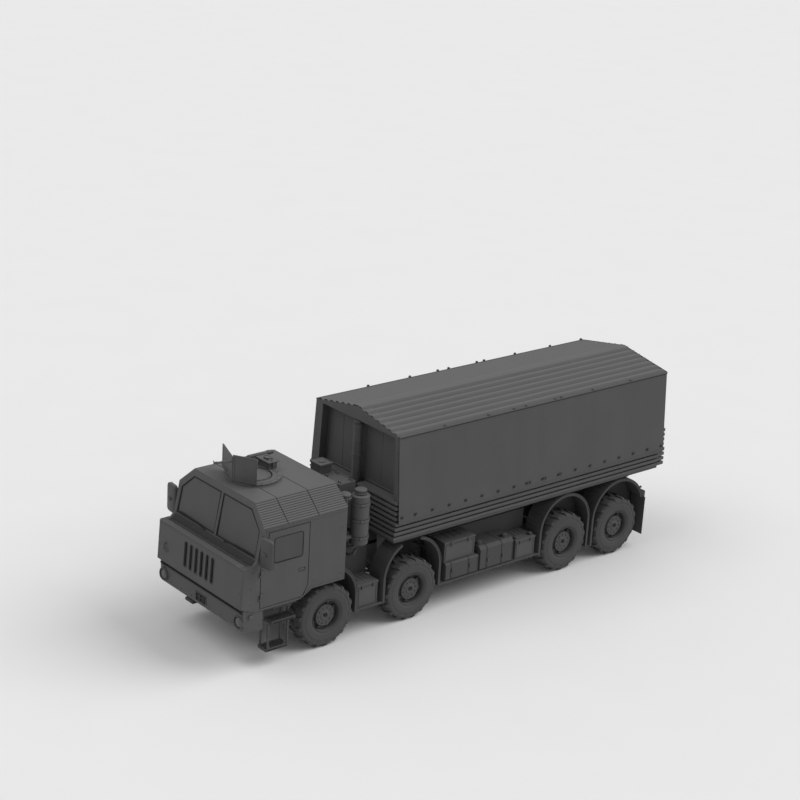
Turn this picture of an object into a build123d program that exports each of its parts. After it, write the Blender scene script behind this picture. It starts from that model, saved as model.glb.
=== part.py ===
from build123d import *
import os
from math import atan2, cos, degrees, hypot, radians, sin, tan

# Eight-wheeled military cargo truck: armoured cab-over-engine cab, ribbed tipping
# load body under a gabled tarpaulin, telescopic hoist ahead of the body.
# Millimetres. +X is the truck's left side, -Y its front, +Z up, ground at Z = 0.
# The origin is on the ground under the middle of the truck's length.

os.makedirs("parts", exist_ok=True)

# ---------------------------------------------------------------- driving dimensions
FRONT_OVERHANG = 1960
AXLE_GAPS = (1970, 3925, 1455)
REAR_OVERHANG = 1180
OVERALL_LENGTH = FRONT_OVERHANG + sum(AXLE_GAPS) + REAR_OVERHANG
FRONT = -OVERALL_LENGTH / 2
REAR = OVERALL_LENGTH / 2
A1 = FRONT + FRONT_OVERHANG
A2 = A1 + AXLE_GAPS[0]
A3 = A2 + AXLE_GAPS[1]
A4 = A3 + AXLE_GAPS[2]
SIDES = (("left", 1), ("right", -1))
RUN = 0.4            # radial clearance of a pin in its bore
FIT = 0.3            # gap between curved pieces that seat on each other
CLEAR = 6            # gap between moving pieces
SEAM = 14            # gap round the doors

# wheels
TYRE_RADIUS = 600
TYRE_WIDTH = 400
WHEEL_CENTRE = 1004  # wheel's middle plane from the truck's centre line
TREAD_ROOT = 572
TREAD_WIDTH = 266
SHOULDER_RADIUS = 530
BEAD_RADIUS = 303
LUG_COUNT = 18
LUG_SHARE = 0.46     # of the pitch; the two rows stand staggered and never meet edge to edge
RIM_SIDES = 20
RIM_WALL = 15
HUB_FACE_RADIUS = 205
HUB_FACE = 140       # hub face outboard of the wheel's middle plane
WEB_FACE = 50
WEB_THICK = 20
SPINDLE_RADIUS = 45
KINGPIN_X = 930
KINGPIN_RADIUS = 20
EYE_RADIUS = 50
EYE_HEIGHT = 160
LUG_PLATE = 30       # thickness of a knuckle's lug

# chassis
RAIL_OUT = 430
RAIL_FLANGE = 80
RAIL_THICK = 12
RAIL_BOTTOM = 900
RAIL_TOP = 1190
RAIL_FRONT = A1 - 1780
RAIL_REAR = A4 + 800
SUBFRAME_HEIGHT = 140
SUBFRAME_TOP = RAIL_TOP + SUBFRAME_HEIGHT
AXLE_TUBE = 60
ENGINE_HALF_WIDTH = 330
ENGINE_Y = (A1 - 1150, A1 + 150)
ENGINE_Z = (740, 1500)

# cab
CAB_HALF = 1280
CAB_WALL = 60
CAB_FLOOR = 1290
CAB_FLOOR_THICK = 50
SILL_Z = 1150        # lower edge of the cab's side ahead of the wheel
SHOULDER_Z = 2660
ROOF_Z = 3010
ROOF_HALF = CAB_HALF - 391
CAB_FRONT = A1 - 1700
CAB_REAR = A1 + 290
SCREEN_FOOT = (A1 - 1600, 2104)
SCREEN_RAKE = 0.177  # run per rise of the windscreen
ROOF_RIDGES = 12
RIDGE_HEIGHT = 12
ROOF_SEAMS = (A1 - 1000, A1 - 340)
SEAM_DEPTH = 14

# front panel and bumper
PANEL_HALF = CAB_HALF + 16
PANEL_TOP = 2015
PANEL_FOOT = 1284
PANEL_TOP_Y = A1 - 1918
PANEL_WALL = 40
LEDGE_GAP = 90       # open strip between the panel's ledge and the cab
SLOT_COUNT = 6
SLOT_PITCH = 163
SLOT_SIZE = (80, 480)
SLOT_MID_Z = 1665
BUMPER_Z = (800, 1260)
BUMPER_FRONT = A1 - 1872
LAMP_X = CAB_HALF - 124
LAMP_Z = 985
LAMP_RADIUS = 80

# mirrors and cab steps
MIRROR_AT = (CAB_HALF + 170, A1 - 1545, 2280)
MIRROR_SIZE = (290, 55, 540)
MIRROR_SWEEP = 28    # outer edge swept back
MIRROR_ARMS = ((A1 - 1535, 2130), (A1 - 1512, 2480))
STEP_X = (CAB_HALF - 270, CAB_HALF - 30)
STEP_BAR = 30
TREAD = 40
# low y, high y, top of the tread
STEPS = ((A1 - 1250, A1 - 740, 840), (A1 - 1360, A1 - 880, 340))

# load body
BODY_FRONT = A1 + 1470
GATE_DEPTH = 130     # from the body's rear edge to the ribs of its tailgate
BODY_REAR = REAR - GATE_DEPTH
FLOOR_Z = (1650, 1710)
WALL_FOOT = 1190
WALL_TOP = 1205
WALL_THICK = 35
RIB_TOP = 2450
RIB_PITCH = 100
RIB_COUNT = 8
RIB_HEIGHT = 62
RIB_TAPER = 24
RIB_OUT = 70
TUB_TOP = RIB_TOP + 33
TARP_FOOT = (1318, 2061)
EAVE = (1201, 3706)
RIDGE_Z = 3930
TARP_THICK = 10
TARP_FRONT = A1 + 1447
TARP_RIDGES = 7
HINGE_Y = A4 + 603
HINGE_Z = 1400
HINGE_RADIUS = 35

# hoist
HOIST_Y = A1 + 1490
TRUNNION_Z = 1800
TRUNNION_RADIUS = 25
TUBE_RADII = (85, 75)
HOIST_WALL = 10
TUBE_Z = (1730, 3630)
STAGE_STEP = 55
EYE_Z = 1230


def block(x, y, z, mode=Mode.ADD):
    """Box between two corners, given as low and high pairs."""
    with Locations(((x[0] + x[1]) / 2, (y[0] + y[1]) / 2, (z[0] + z[1]) / 2)):
        Box(x[1] - x[0], y[1] - y[0], z[1] - z[0], mode=mode)


def rod(start, end, radius, mode=Mode.ADD):
    """Cylinder between two points."""
    span = Vector(*end) - Vector(*start)
    with Locations(Plane(origin=start, z_dir=span)):
        Cylinder(radius, span.length, align=(Align.CENTER, Align.CENTER, Align.MIN), mode=mode)


def outline(points):
    """Closed polygon in the sketch that is being built."""
    Polygon(*points, align=None)


def station(y):
    """Cross-section plane at y: local x is X, local y is Z; extrudes towards the front."""
    return Plane(origin=(0, y, 0), x_dir=(1, 0, 0), z_dir=(0, -1, 0))


def side(x):
    """Lengthwise plane at x: local x is Y, local y is Z; extrudes towards +X."""
    return Plane(origin=(x, 0, 0), x_dir=(0, 1, 0), z_dir=(1, 0, 0))


def screen_y(z):
    """Y of the cab's raked front face at height z."""
    return SCREEN_FOOT[0] + SCREEN_RAKE * (z - SCREEN_FOOT[1])


def save(part, name):
    """Label a finished piece and write it."""
    part.label = name
    export_step(part, f"parts/{name}.step")


# ---------------------------------------------------------------- wheel forms
# A wheel's own frame: origin at its centre, axis along X, +X outboard.
PITCH = 360 / LUG_COUNT


def tread_points(turn):
    """Toothed tread outline: root, tip, tip, root for each lug."""
    half = PITCH * LUG_SHARE / 2
    tip = TYRE_RADIUS / cos(radians(half))
    points = []
    for lug in range(LUG_COUNT):
        middle = lug * PITCH + turn
        for angle, radius in ((-half, TREAD_ROOT), (-half, tip), (half, tip), (half, TREAD_ROOT)):
            a = radians(middle + angle - 90)
            points.append((radius * cos(a), radius * sin(a)))
    return points


with BuildPart() as tyre_form:
    for low, turn in ((0, 0), (-TREAD_WIDTH / 2, PITCH / 2)):
        with BuildSketch(side(low)):
            outline(tread_points(turn))
        extrude(amount=TREAD_WIDTH / 2)
    for end in (1, -1):
        for x, radius in ((end * TREAD_WIDTH / 2, TREAD_ROOT - 6), (end * TYRE_WIDTH / 2, SHOULDER_RADIUS)):
            with BuildSketch(side(x)):
                RegularPolygon(radius, LUG_COUNT, rotation=PITCH / 4)
        loft(ruled=True)
    with BuildSketch(side(-TYRE_WIDTH / 2)):
        RegularPolygon(BEAD_RADIUS, RIM_SIDES)
    extrude(amount=TYRE_WIDTH, mode=Mode.SUBTRACT)

with BuildPart() as rim_form:
    rim_radius = BEAD_RADIUS - FIT
    barrel_in = -TREAD_WIDTH / 2 - 30
    barrel_out = TYRE_WIDTH / 2 - 20
    with BuildSketch(side(barrel_in)):
        RegularPolygon(rim_radius, RIM_SIDES)
        RegularPolygon(rim_radius - RIM_WALL, RIM_SIDES, mode=Mode.SUBTRACT)
    extrude(amount=barrel_out - barrel_in)
    with BuildSketch(side(WEB_FACE - WEB_THICK)):
        RegularPolygon(rim_radius - RIM_WALL / 2, RIM_SIDES)
    extrude(amount=WEB_THICK)
    with BuildSketch(side(WEB_FACE)):
        RegularPolygon(HUB_FACE_RADIUS, RIM_SIDES)
    extrude(amount=HUB_FACE - WEB_FACE)
    rod((WEB_FACE - WEB_THICK - 1, 0, 0), (HUB_FACE + 1, 0, 0), SPINDLE_RADIUS + RUN, Mode.SUBTRACT)

for axle, axle_y in enumerate((A1, A2, A3, A4), start=1):
    for hand, sign in SIDES:
        place = Location((sign * WHEEL_CENTRE, axle_y, TYRE_RADIUS), (0, 0, 0 if sign > 0 else 180))
        with BuildPart() as tyre:
            with Locations(place):
                add(tyre_form.part)
        save(tyre.part, f"tyre_{axle}_{hand}")
        with BuildPart() as rim:
            with Locations(place):
                add(rim_form.part)
        save(rim.part, f"rim_{axle}_{hand}")

# ---------------------------------------------------------------- steering knuckles
# Two lugs over and under the axle's eye, a flange and a spindle, in the wheel's own frame.
PIN_X = KINGPIN_X - WHEEL_CENTRE
LUG_Z = (EYE_HEIGHT / 2 + CLEAR, EYE_HEIGHT / 2 + CLEAR + LUG_PLATE)
FLANGE_X = (PIN_X + EYE_RADIUS + 20, PIN_X + EYE_RADIUS + 40)

for axle, axle_y in enumerate((A1, A2), start=1):
    for hand, sign in SIDES:
        with BuildPart() as knuckle:
            centre = (sign * WHEEL_CENTRE, axle_y, TYRE_RADIUS)
            pin = (sign * KINGPIN_X, axle_y)
            flange = tuple(sorted((centre[0] + sign * FLANGE_X[0], centre[0] + sign * FLANGE_X[1])))
            lug_x = tuple(sorted((pin[0], flange[0] if sign > 0 else flange[1])))
            block(flange, (axle_y - 90, axle_y + 90), (TYRE_RADIUS - LUG_Z[1], TYRE_RADIUS + LUG_Z[1]))
            for low, high in ((-LUG_Z[1], -LUG_Z[0]), LUG_Z):
                z = (TYRE_RADIUS + low, TYRE_RADIUS + high)
                block(lug_x, (axle_y - 40, axle_y + 40), z)
                rod((*pin, z[0]), (*pin, z[1]), 40)
            rod((*pin, TYRE_RADIUS - LUG_Z[1] - 1), (*pin, TYRE_RADIUS + LUG_Z[1] + 1), KINGPIN_RADIUS + RUN, Mode.SUBTRACT)
            rod((flange[0] if sign > 0 else flange[1], axle_y, TYRE_RADIUS), (centre[0] + sign * (HUB_FACE - 30), axle_y, TYRE_RADIUS), SPINDLE_RADIUS)
        save(knuckle.part, f"knuckle_{axle}_{hand}")

# ---------------------------------------------------------------- axles and springs
with BuildPart() as axles:
    for axle_y in (A1, A2):
        rod((-KINGPIN_X, axle_y, TYRE_RADIUS), (KINGPIN_X, axle_y, TYRE_RADIUS), AXLE_TUBE)
        for sign in (1, -1):
            pin = (sign * KINGPIN_X, axle_y)
            block(
                tuple(sorted((sign * (KINGPIN_X - 2), sign * (KINGPIN_X + 80)))),
                (axle_y - 80, axle_y + 80),
                (TYRE_RADIUS - 70, TYRE_RADIUS + 70),
                Mode.SUBTRACT,
            )
            rod((*pin, TYRE_RADIUS - EYE_HEIGHT / 2), (*pin, TYRE_RADIUS + EYE_HEIGHT / 2), EYE_RADIUS)
            rod((*pin, TYRE_RADIUS - LUG_Z[1]), (*pin, TYRE_RADIUS + LUG_Z[1]), KINGPIN_RADIUS)
            x = tuple(sorted((sign * (RAIL_OUT - RAIL_FLANGE), sign * RAIL_OUT)))
            block(x, (axle_y - 70, axle_y + 70), (TYRE_RADIUS, TYRE_RADIUS + 80))
    for axle_y in (A3, A4):
        rod((-KINGPIN_X, axle_y, TYRE_RADIUS), (KINGPIN_X, axle_y, TYRE_RADIUS), AXLE_TUBE)
        rod((-130, axle_y, TYRE_RADIUS), (130, axle_y, TYRE_RADIUS), 175)
        rod((0, axle_y - 230, TYRE_RADIUS), (0, axle_y, TYRE_RADIUS), 70)
        spindle_end = WHEEL_CENTRE + HUB_FACE - 30
        rod((-spindle_end, axle_y, TYRE_RADIUS), (spindle_end, axle_y, TYRE_RADIUS), SPINDLE_RADIUS)
        for sign in (1, -1):
            x = tuple(sorted((sign * (RAIL_OUT - RAIL_FLANGE), sign * RAIL_OUT)))
            block(x, (axle_y - 70, axle_y + 70), (TYRE_RADIUS, TYRE_RADIUS + 80))
save(axles.part, "axles")

SPRING_SEAT = TYRE_RADIUS + 80
SPRING_EYE_Z = RAIL_BOTTOM - 40
SPRING_HALF = 620


LEAF = 34
BOGIE_Y = (A3 + A4) / 2
# lowest end y and z, middle y and z, far end y, pack thickness; ends are level
LEAF_PACKS = [
    (A3 - 60, SPRING_SEAT, BOGIE_Y, RAIL_BOTTOM - 2 * LEAF, A4 + 60, 2 * LEAF),
]
for axle_y in (A1, A2):
    LEAF_PACKS.append((axle_y - SPRING_HALF, SPRING_EYE_Z - LEAF, axle_y, SPRING_SEAT + LEAF, axle_y + SPRING_HALF, LEAF))
    LEAF_PACKS.append((axle_y - SPRING_HALF * 0.6, SPRING_SEAT + 58, axle_y, SPRING_SEAT, axle_y + SPRING_HALF * 0.6, LEAF))
with BuildPart() as leaf_springs:
    for low_x in (RAIL_OUT - RAIL_FLANGE, -RAIL_OUT):
        for y_low, z_end, y_mid, z_mid, y_high, thick in LEAF_PACKS:
            with BuildSketch(side(low_x)):
                with BuildLine():
                    under = ThreePointArc((y_low, z_end), (y_mid, z_mid), (y_high, z_end))
                    over = ThreePointArc((y_low, z_end + thick), (y_mid, z_mid + thick), (y_high, z_end + thick))
                    Line(under @ 0, over @ 0)
                    Line(under @ 1, over @ 1)
                make_face()
            extrude(amount=RAIL_FLANGE)
save(leaf_springs.part, "leaf_springs")

# ---------------------------------------------------------------- chassis frame
CROSS_Y = (A1 - 1500, A1 + 620, A2 + 640, A2 + 1900, A3 - 640, (A3 + A4) / 2, RAIL_REAR - 60)
OUTRIGGER_Y = (A1 + 740, A1 + 1060, A1 + 2860, A1 + 3520, A1 + 3800, A1 + 4360, A1 + 4680, A1 + 5010)
DECK_Z = (500, 540)          # side sill that carries the boxes
DECK_X = 1185
SPLASH = 8                   # splash plates hung from the rails
SILL_SPANS = ((A1 + 692, A2 - 690), (A2 + 695, A3 - 695))

with BuildPart() as chassis_frame:
    for sign in (1, -1):
        with BuildSketch(station(RAIL_REAR)):
            web = sign * RAIL_OUT
            lip = sign * (RAIL_OUT - RAIL_FLANGE)
            skin = sign * (RAIL_OUT - RAIL_THICK)
            outline([
                (web, RAIL_BOTTOM), (lip, RAIL_BOTTOM), (lip, RAIL_BOTTOM + RAIL_THICK),
                (skin, RAIL_BOTTOM + RAIL_THICK), (skin, RAIL_TOP - RAIL_THICK),
                (lip, RAIL_TOP - RAIL_THICK), (lip, RAIL_TOP), (web, RAIL_TOP),
            ])
        extrude(amount=RAIL_REAR - RAIL_FRONT)
        for axle_y in (A1, A2):
            for end in (-1, 1):
                y = axle_y + end * SPRING_HALF
                x = tuple(sorted((sign * (RAIL_OUT - RAIL_FLANGE), sign * RAIL_OUT)))
                block(x, (y - 40, y + 40), (SPRING_EYE_Z, RAIL_BOTTOM))
        for y in (RAIL_FRONT + 260, CAB_REAR - 180):
            x = tuple(sorted((sign * (RAIL_OUT - RAIL_FLANGE), sign * RAIL_OUT)))
            block(x, (y - 60, y + 60), (RAIL_TOP, CAB_FLOOR))
        for y in (ENGINE_Y[0] + 150, ENGINE_Y[1] - 150):
            x = tuple(sorted((sign * ENGINE_HALF_WIDTH, sign * (RAIL_OUT - RAIL_THICK))))
            block(x, (y - 50, y + 50), (RAIL_BOTTOM + 60, RAIL_BOTTOM + 150))
    for y in CROSS_Y:
        block((-RAIL_OUT + RAIL_THICK, RAIL_OUT - RAIL_THICK), (y - 40, y + 40), (RAIL_BOTTOM + 60, RAIL_TOP - 40))
    # rear crossbar with the tow coupling
    block((-1000, 1000), (RAIL_REAR - 1, RAIL_REAR + 60), (930, 1060))
    block((-120, 120), (RAIL_REAR + 59, RAIL_REAR + 110), (900, 1090))
    rod((0, RAIL_REAR + 40, 995), (0, RAIL_REAR + 200, 995), 60)
    rod((0, RAIL_REAR + 150, 900), (0, RAIL_REAR + 150, 1100), 26, Mode.SUBTRACT)
save(chassis_frame.part, "chassis_frame")

# outriggers and side sills that carry the boxes and tanks
with BuildPart() as side_frames:
    for sign in (1, -1):
        for y in OUTRIGGER_Y:
            x = tuple(sorted((sign * RAIL_OUT, sign * (RAIL_OUT + 40))))
            block(x, (y - 25, y + 25), (DECK_Z[0], RAIL_BOTTOM + 150))
            x = tuple(sorted((sign * RAIL_OUT, sign * (DECK_X - 40))))
            block(x, (y - 25, y + 25), DECK_Z)
        for low_y, high_y in SILL_SPANS:
            x = tuple(sorted((sign * (DECK_X - 41), sign * DECK_X)))
            block(x, (low_y, high_y), DECK_Z)
            x = tuple(sorted((sign * RAIL_OUT, sign * (RAIL_OUT + SPLASH))))
            block(x, (low_y, high_y), (DECK_Z[0], RAIL_BOTTOM + 30))
save(side_frames.part, "side_frames")

# Tipper subframe on the rails, with the rear hinge cheeks and pins and the hoist's foot.
HINGE_X = (250, 330)         # the body's hinge ear lies between these
with BuildPart() as subframe:
    for sign in (1, -1):
        x = tuple(sorted((sign * (RAIL_OUT - RAIL_FLANGE), sign * RAIL_OUT)))
        block(x, (A1 + 1250, RAIL_REAR), (RAIL_TOP, SUBFRAME_TOP))
        with BuildSketch(side(x[0])):
            with BuildLine():
                Polyline((HINGE_Y - 140, SUBFRAME_TOP - 1), (HINGE_Y - 60, HINGE_Z), (HINGE_Y - 60, HINGE_Z + 1))
                ThreePointArc((HINGE_Y - 60, HINGE_Z + 1), (HINGE_Y, HINGE_Z + 61), (HINGE_Y + 60, HINGE_Z + 1))
                Polyline((HINGE_Y + 60, HINGE_Z + 1), (HINGE_Y + 60, HINGE_Z), (HINGE_Y + 140, SUBFRAME_TOP - 1),
                         (HINGE_Y - 140, SUBFRAME_TOP - 1))
            make_face()
        extrude(amount=RAIL_FLANGE)
        rod((sign * (HINGE_X[0] - 20), HINGE_Y, HINGE_Z), (sign * RAIL_OUT, HINGE_Y, HINGE_Z), HINGE_RADIUS)
    for y in (A1 + 1310, A2 + 1300, A3 - 300, RAIL_REAR - 60):
        block((-RAIL_OUT + 1, RAIL_OUT - 1), (y - 50, y + 50), (RAIL_TOP + 20, SUBFRAME_TOP - 20))
    block((-RAIL_OUT + RAIL_FLANGE, RAIL_OUT - RAIL_FLANGE), (HOIST_Y - 90, HOIST_Y + 90), (RAIL_TOP - 150, RAIL_TOP - 110))
    for sign in (1, -1):
        x = tuple(sorted((sign * 42, sign * 72)))
        block(x, (HOIST_Y - 70, HOIST_Y + 70), (RAIL_TOP - 111, EYE_Z + 60))
        x = tuple(sorted((sign * (RAIL_OUT - RAIL_FLANGE), sign * (RAIL_OUT - RAIL_FLANGE - 30))))
        block(x, (HOIST_Y - 90, HOIST_Y + 90), (RAIL_TOP - 150, RAIL_TOP + 40))
        x = tuple(sorted((sign * (RAIL_OUT - RAIL_FLANGE - 30), sign * (RAIL_OUT - 20))))
        block(x, (HOIST_Y - 90, HOIST_Y + 90), (RAIL_TOP, RAIL_TOP + 40))
save(subframe.part, "tipper_subframe")

with BuildPart() as engine:
    block((-ENGINE_HALF_WIDTH, ENGINE_HALF_WIDTH), ENGINE_Y, ENGINE_Z)
save(engine.part, "engine_block")

TRANSFER_Y = (A2 + 900, A2 + 1420)
with BuildPart() as driveline:
    block((-RAIL_OUT + RAIL_FLANGE, RAIL_OUT - RAIL_FLANGE), TRANSFER_Y, (640, RAIL_BOTTOM + 40))
    block((-170, 170), (ENGINE_Y[1], ENGINE_Y[1] + 700), (740, 950))
    rod((0, ENGINE_Y[1] + 700, 860), (0, TRANSFER_Y[0], 860), 45)
    rod((0, TRANSFER_Y[1], 700), (0, A3 - 232, TYRE_RADIUS), 45)
    rod((0, A3 + 175, TYRE_RADIUS), (0, A4 - 230, TYRE_RADIUS), 45)
    for sign in (1, -1):
        x = tuple(sorted((sign * (RAIL_OUT - RAIL_FLANGE - 40), sign * (RAIL_OUT - RAIL_THICK))))
        block(x, (TRANSFER_Y[0] + 60, TRANSFER_Y[0] + 140), (RAIL_BOTTOM + RAIL_THICK, RAIL_BOTTOM + 40))
save(driveline.part, "driveline")

# ---------------------------------------------------------------- cab
DOOR_FRONT = A1 - 1535
DOOR_REAR = A1 - 530
DOOR_HINGE = (CAB_HALF + 20, DOOR_FRONT - 10)
DOOR_PIN = 8
# door outline, y and z, from the front foot round over the top
DOOR_EDGE = [
    (DOOR_FRONT, 1200), (DOOR_FRONT, 1970), (DOOR_FRONT + 135, 2370), (DOOR_FRONT + 155, 2565),
    (DOOR_REAR, 2565), (DOOR_REAR, 1390), (DOOR_REAR - 112, 1200),
]
WINDOW_Y = (A1 - 1275, A1 - 650)
WINDOW_Z = (1968, 2450)
WINDOW_RADIUS = 60
HANDLE_Y = (DOOR_REAR - 190, DOOR_REAR - 70)
HANDLE_Z = (1690, 1750)
# windscreen pane, x and z: post, top, shoulder, foot
POST_HALF = 30
PANE_TOP = 2886
PANE_FOOT = 2112
PANE = [(POST_HALF, PANE_FOOT), (POST_HALF, PANE_TOP), (ROOF_HALF - 14, PANE_TOP), (CAB_HALF - 95, 2598), (CAB_HALF - 80, PANE_FOOT)]
ARCH = [
    (A1 - 700, 1000), (A1 - 700, SILL_Z), (A1 - 655, SILL_Z + 20), (A1 - 436, CAB_FLOOR + 10),
    (A1 - 436, CAB_FLOOR), (CAB_REAR + 1, CAB_FLOOR), (CAB_REAR + 1, 1000),
]


def cab_side(inset):
    """Side outline of the cab, y and z, drawn in by inset."""
    top = ROOF_Z + RIDGE_HEIGHT - inset
    front_wall = CAB_FRONT + inset
    return [
        (front_wall, SILL_Z - 1 if inset == 0 else CAB_FLOOR + CAB_FLOOR_THICK),
        (front_wall, PANEL_TOP - 1),
        (screen_y(SCREEN_FOOT[1]) + inset - 20, SCREEN_FOOT[1] - 10),
        (screen_y(top) + inset, top),
        (CAB_REAR - inset, top),
        (CAB_REAR - inset, SILL_Z - 1 if inset == 0 else CAB_FLOOR + CAB_FLOOR_THICK),
    ]


def cab_section(inset, ridged):
    """Half cross-section of the cab, x and z, with flat ridges on the roof's chamfer."""
    shoulder = (CAB_HALF - inset, SHOULDER_Z - inset * 0.35)
    top = (ROOF_HALF - inset * 0.35, ROOF_Z - inset)
    chain = [(0, SILL_Z - 1 if inset == 0 else CAB_FLOOR + CAB_FLOOR_THICK), (CAB_HALF - inset, SILL_Z - 1 if inset == 0 else CAB_FLOOR + CAB_FLOOR_THICK), shoulder]
    if ridged:
        run = (top[0] - shoulder[0]) / ROOF_RIDGES, (top[1] - shoulder[1]) / ROOF_RIDGES
        length = hypot(*run)
        normal = (run[1] / length, -run[0] / length)
        for ridge in range(ROOF_RIDGES):
            base = (shoulder[0] + run[0] * ridge, shoulder[1] + run[1] * ridge)
            if ridge:
                chain.append(base)
            for share in (0.16, 0.84):
                chain.append((base[0] + run[0] * share + normal[0] * RIDGE_HEIGHT,
                              base[1] + run[1] * share + normal[1] * RIDGE_HEIGHT))
    return chain + [top, (0, top[1])]


def cab_shape(inset, ridged):
    """Cross-section run lengthwise, cut to the side outline."""
    with BuildPart(mode=Mode.PRIVATE) as shape:
        with BuildSketch(station(CAB_REAR - inset)):
            outline(cab_section(inset, ridged))
            mirror(about=Plane.YZ)
        extrude(amount=CAB_REAR - CAB_FRONT + 100)
        with BuildSketch(side(-CAB_HALF - 50)):
            outline(cab_side(inset))
        extrude(amount=2 * CAB_HALF + 100, mode=Mode.INTERSECT)
    return shape.part


def screen_plane(back):
    """Plane of the windscreen moved back by a distance: local x is X, local y up the rake."""
    face = Plane(origin=(0, *SCREEN_FOOT), x_dir=(1, 0, 0), z_dir=(0, -1, SCREEN_RAKE))
    return face.offset(-back)


def pane_points(grow):
    """Pane outline in the windscreen's own plane, drawn out by grow."""
    slope = hypot(1, SCREEN_RAKE)
    raw = [(x, (z - SCREEN_FOOT[1]) * slope) for x, z in PANE]
    mid = (sum(p[0] for p in raw) / len(raw), sum(p[1] for p in raw) / len(raw))
    return [
        (x + grow * (1 if x > mid[0] else -1), y + grow * (1 if y > mid[1] else -1)) for x, y in raw
    ]


cab_outer = cab_shape(0, True)
cab_inner = cab_shape(CAB_WALL, False)
TUNNEL_HALF = ENGINE_HALF_WIDTH + 90
TUNNEL_TOP = ENGINE_Z[1] + 70
TUNNEL_Y = (ENGINE_Y[0] - 80, CAB_REAR)
SPLIT_Z = SHOULDER_Z - 20

with BuildPart() as cab_all:
    add(cab_outer)
    add(cab_inner, mode=Mode.SUBTRACT)
    with BuildSketch(side(-CAB_HALF - 20)):
        outline(ARCH)
    extrude(amount=2 * CAB_HALF + 40, mode=Mode.SUBTRACT)
    block((-CAB_HALF + CAB_WALL, CAB_HALF - CAB_WALL), (CAB_FRONT + CAB_WALL, A1 - 600), (SILL_Z - 50, CAB_FLOOR), Mode.SUBTRACT)
    block((-TUNNEL_HALF, TUNNEL_HALF), TUNNEL_Y, (CAB_FLOOR, TUNNEL_TOP))
    block((-TUNNEL_HALF + 30, TUNNEL_HALF - 30), (TUNNEL_Y[0] + 30, TUNNEL_Y[1] + 1), (CAB_FLOOR - 100, TUNNEL_TOP - 30), Mode.SUBTRACT)
    block((-RAIL_OUT - 10, RAIL_OUT + 10), (CAB_FRONT - 1, CAB_FRONT + CAB_WALL + 1), (SILL_Z - 50, RAIL_TOP + 10), Mode.SUBTRACT)
    grown = [(y + (-SEAM if y < A1 - 1300 else SEAM if y == DOOR_REAR or y == DOOR_REAR - 112 else 0),
              z + (SEAM if z > 2500 else -SEAM if z < 1300 else 0)) for y, z in DOOR_EDGE]
    for low in (-CAB_HALF - 20, CAB_HALF - CAB_WALL):
        with BuildSketch(side(low)):
            outline(grown)
        extrude(amount=CAB_WALL + 20, mode=Mode.SUBTRACT)
    with BuildSketch(screen_plane(-60)):
        outline(pane_points(0))
        mirror(about=Plane.YZ)
    extrude(amount=-160, mode=Mode.SUBTRACT)
    for y in ROOF_SEAMS:
        with BuildPart(mode=Mode.PRIVATE) as seam:
            block((-CAB_HALF - 20, CAB_HALF + 20), (y - 7, y + 7), (SPLIT_Z + 10, ROOF_Z + 40))
            with BuildSketch(station(y + 8)):
                outline(cab_section(SEAM_DEPTH, False))
                mirror(about=Plane.YZ)
            extrude(amount=16, mode=Mode.SUBTRACT)
        add(seam.part, mode=Mode.SUBTRACT)

# floor and engine tunnel lie between the walls
FLOOR_SPAN = ((-CAB_HALF + CAB_WALL, CAB_HALF - CAB_WALL), (CAB_FRONT + CAB_WALL, CAB_REAR - CAB_WALL), (SILL_Z, TUNNEL_TOP + 5))
with BuildPart() as cab_floor:
    add(cab_all.part)
    with BuildPart(mode=Mode.PRIVATE) as span:
        block(*FLOOR_SPAN)
    add(span.part, mode=Mode.INTERSECT)
save(cab_floor.part, "cab_floor")

with BuildPart() as cab_body:
    add(cab_all.part)
    split(bisect_by=Plane.XY.offset(SPLIT_Z), keep=Keep.BOTTOM)
    block(*FLOOR_SPAN, Mode.SUBTRACT)
    for sign in (1, -1):
        hinge = (sign * DOOR_HINGE[0], DOOR_HINGE[1])
        for z in (1420, 1860):
            rod((*hinge, z - 50), (*hinge, z + 50), DOOR_PIN)
            x = tuple(sorted((sign * (CAB_HALF - 30), sign * (CAB_HALF + 30))))
            block(x, (hinge[1] - 34, hinge[1] + 2), (z - 58, z - 32))
save(cab_body.part, "cab_body")

HATCH = (-50, A1 - 800)      # centre of the roof ring and its hatch
HATCH_RADIUS = 270
RING_RADII = (345, 500)
RING_Z = (ROOF_Z + 8, ROOF_Z + 48)
with BuildPart() as cab_roof:
    add(cab_all.part)
    split(bisect_by=Plane.XY.offset(SPLIT_Z), keep=Keep.TOP)
    rod((*HATCH, ROOF_Z - 1), (*HATCH, RING_Z[0]), RING_RADII[1] - 30)
    rod((*HATCH, ROOF_Z - 100), (*HATCH, RING_Z[0] + 1), HATCH_RADIUS, Mode.SUBTRACT)
save(cab_roof.part, "cab_roof")

with BuildPart() as windscreen:
    with BuildSketch(screen_plane(3)):
        outline(pane_points(-FIT))
        mirror(about=Plane.YZ)
    extrude(amount=-20)
save(windscreen.part, "windscreen")

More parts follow.
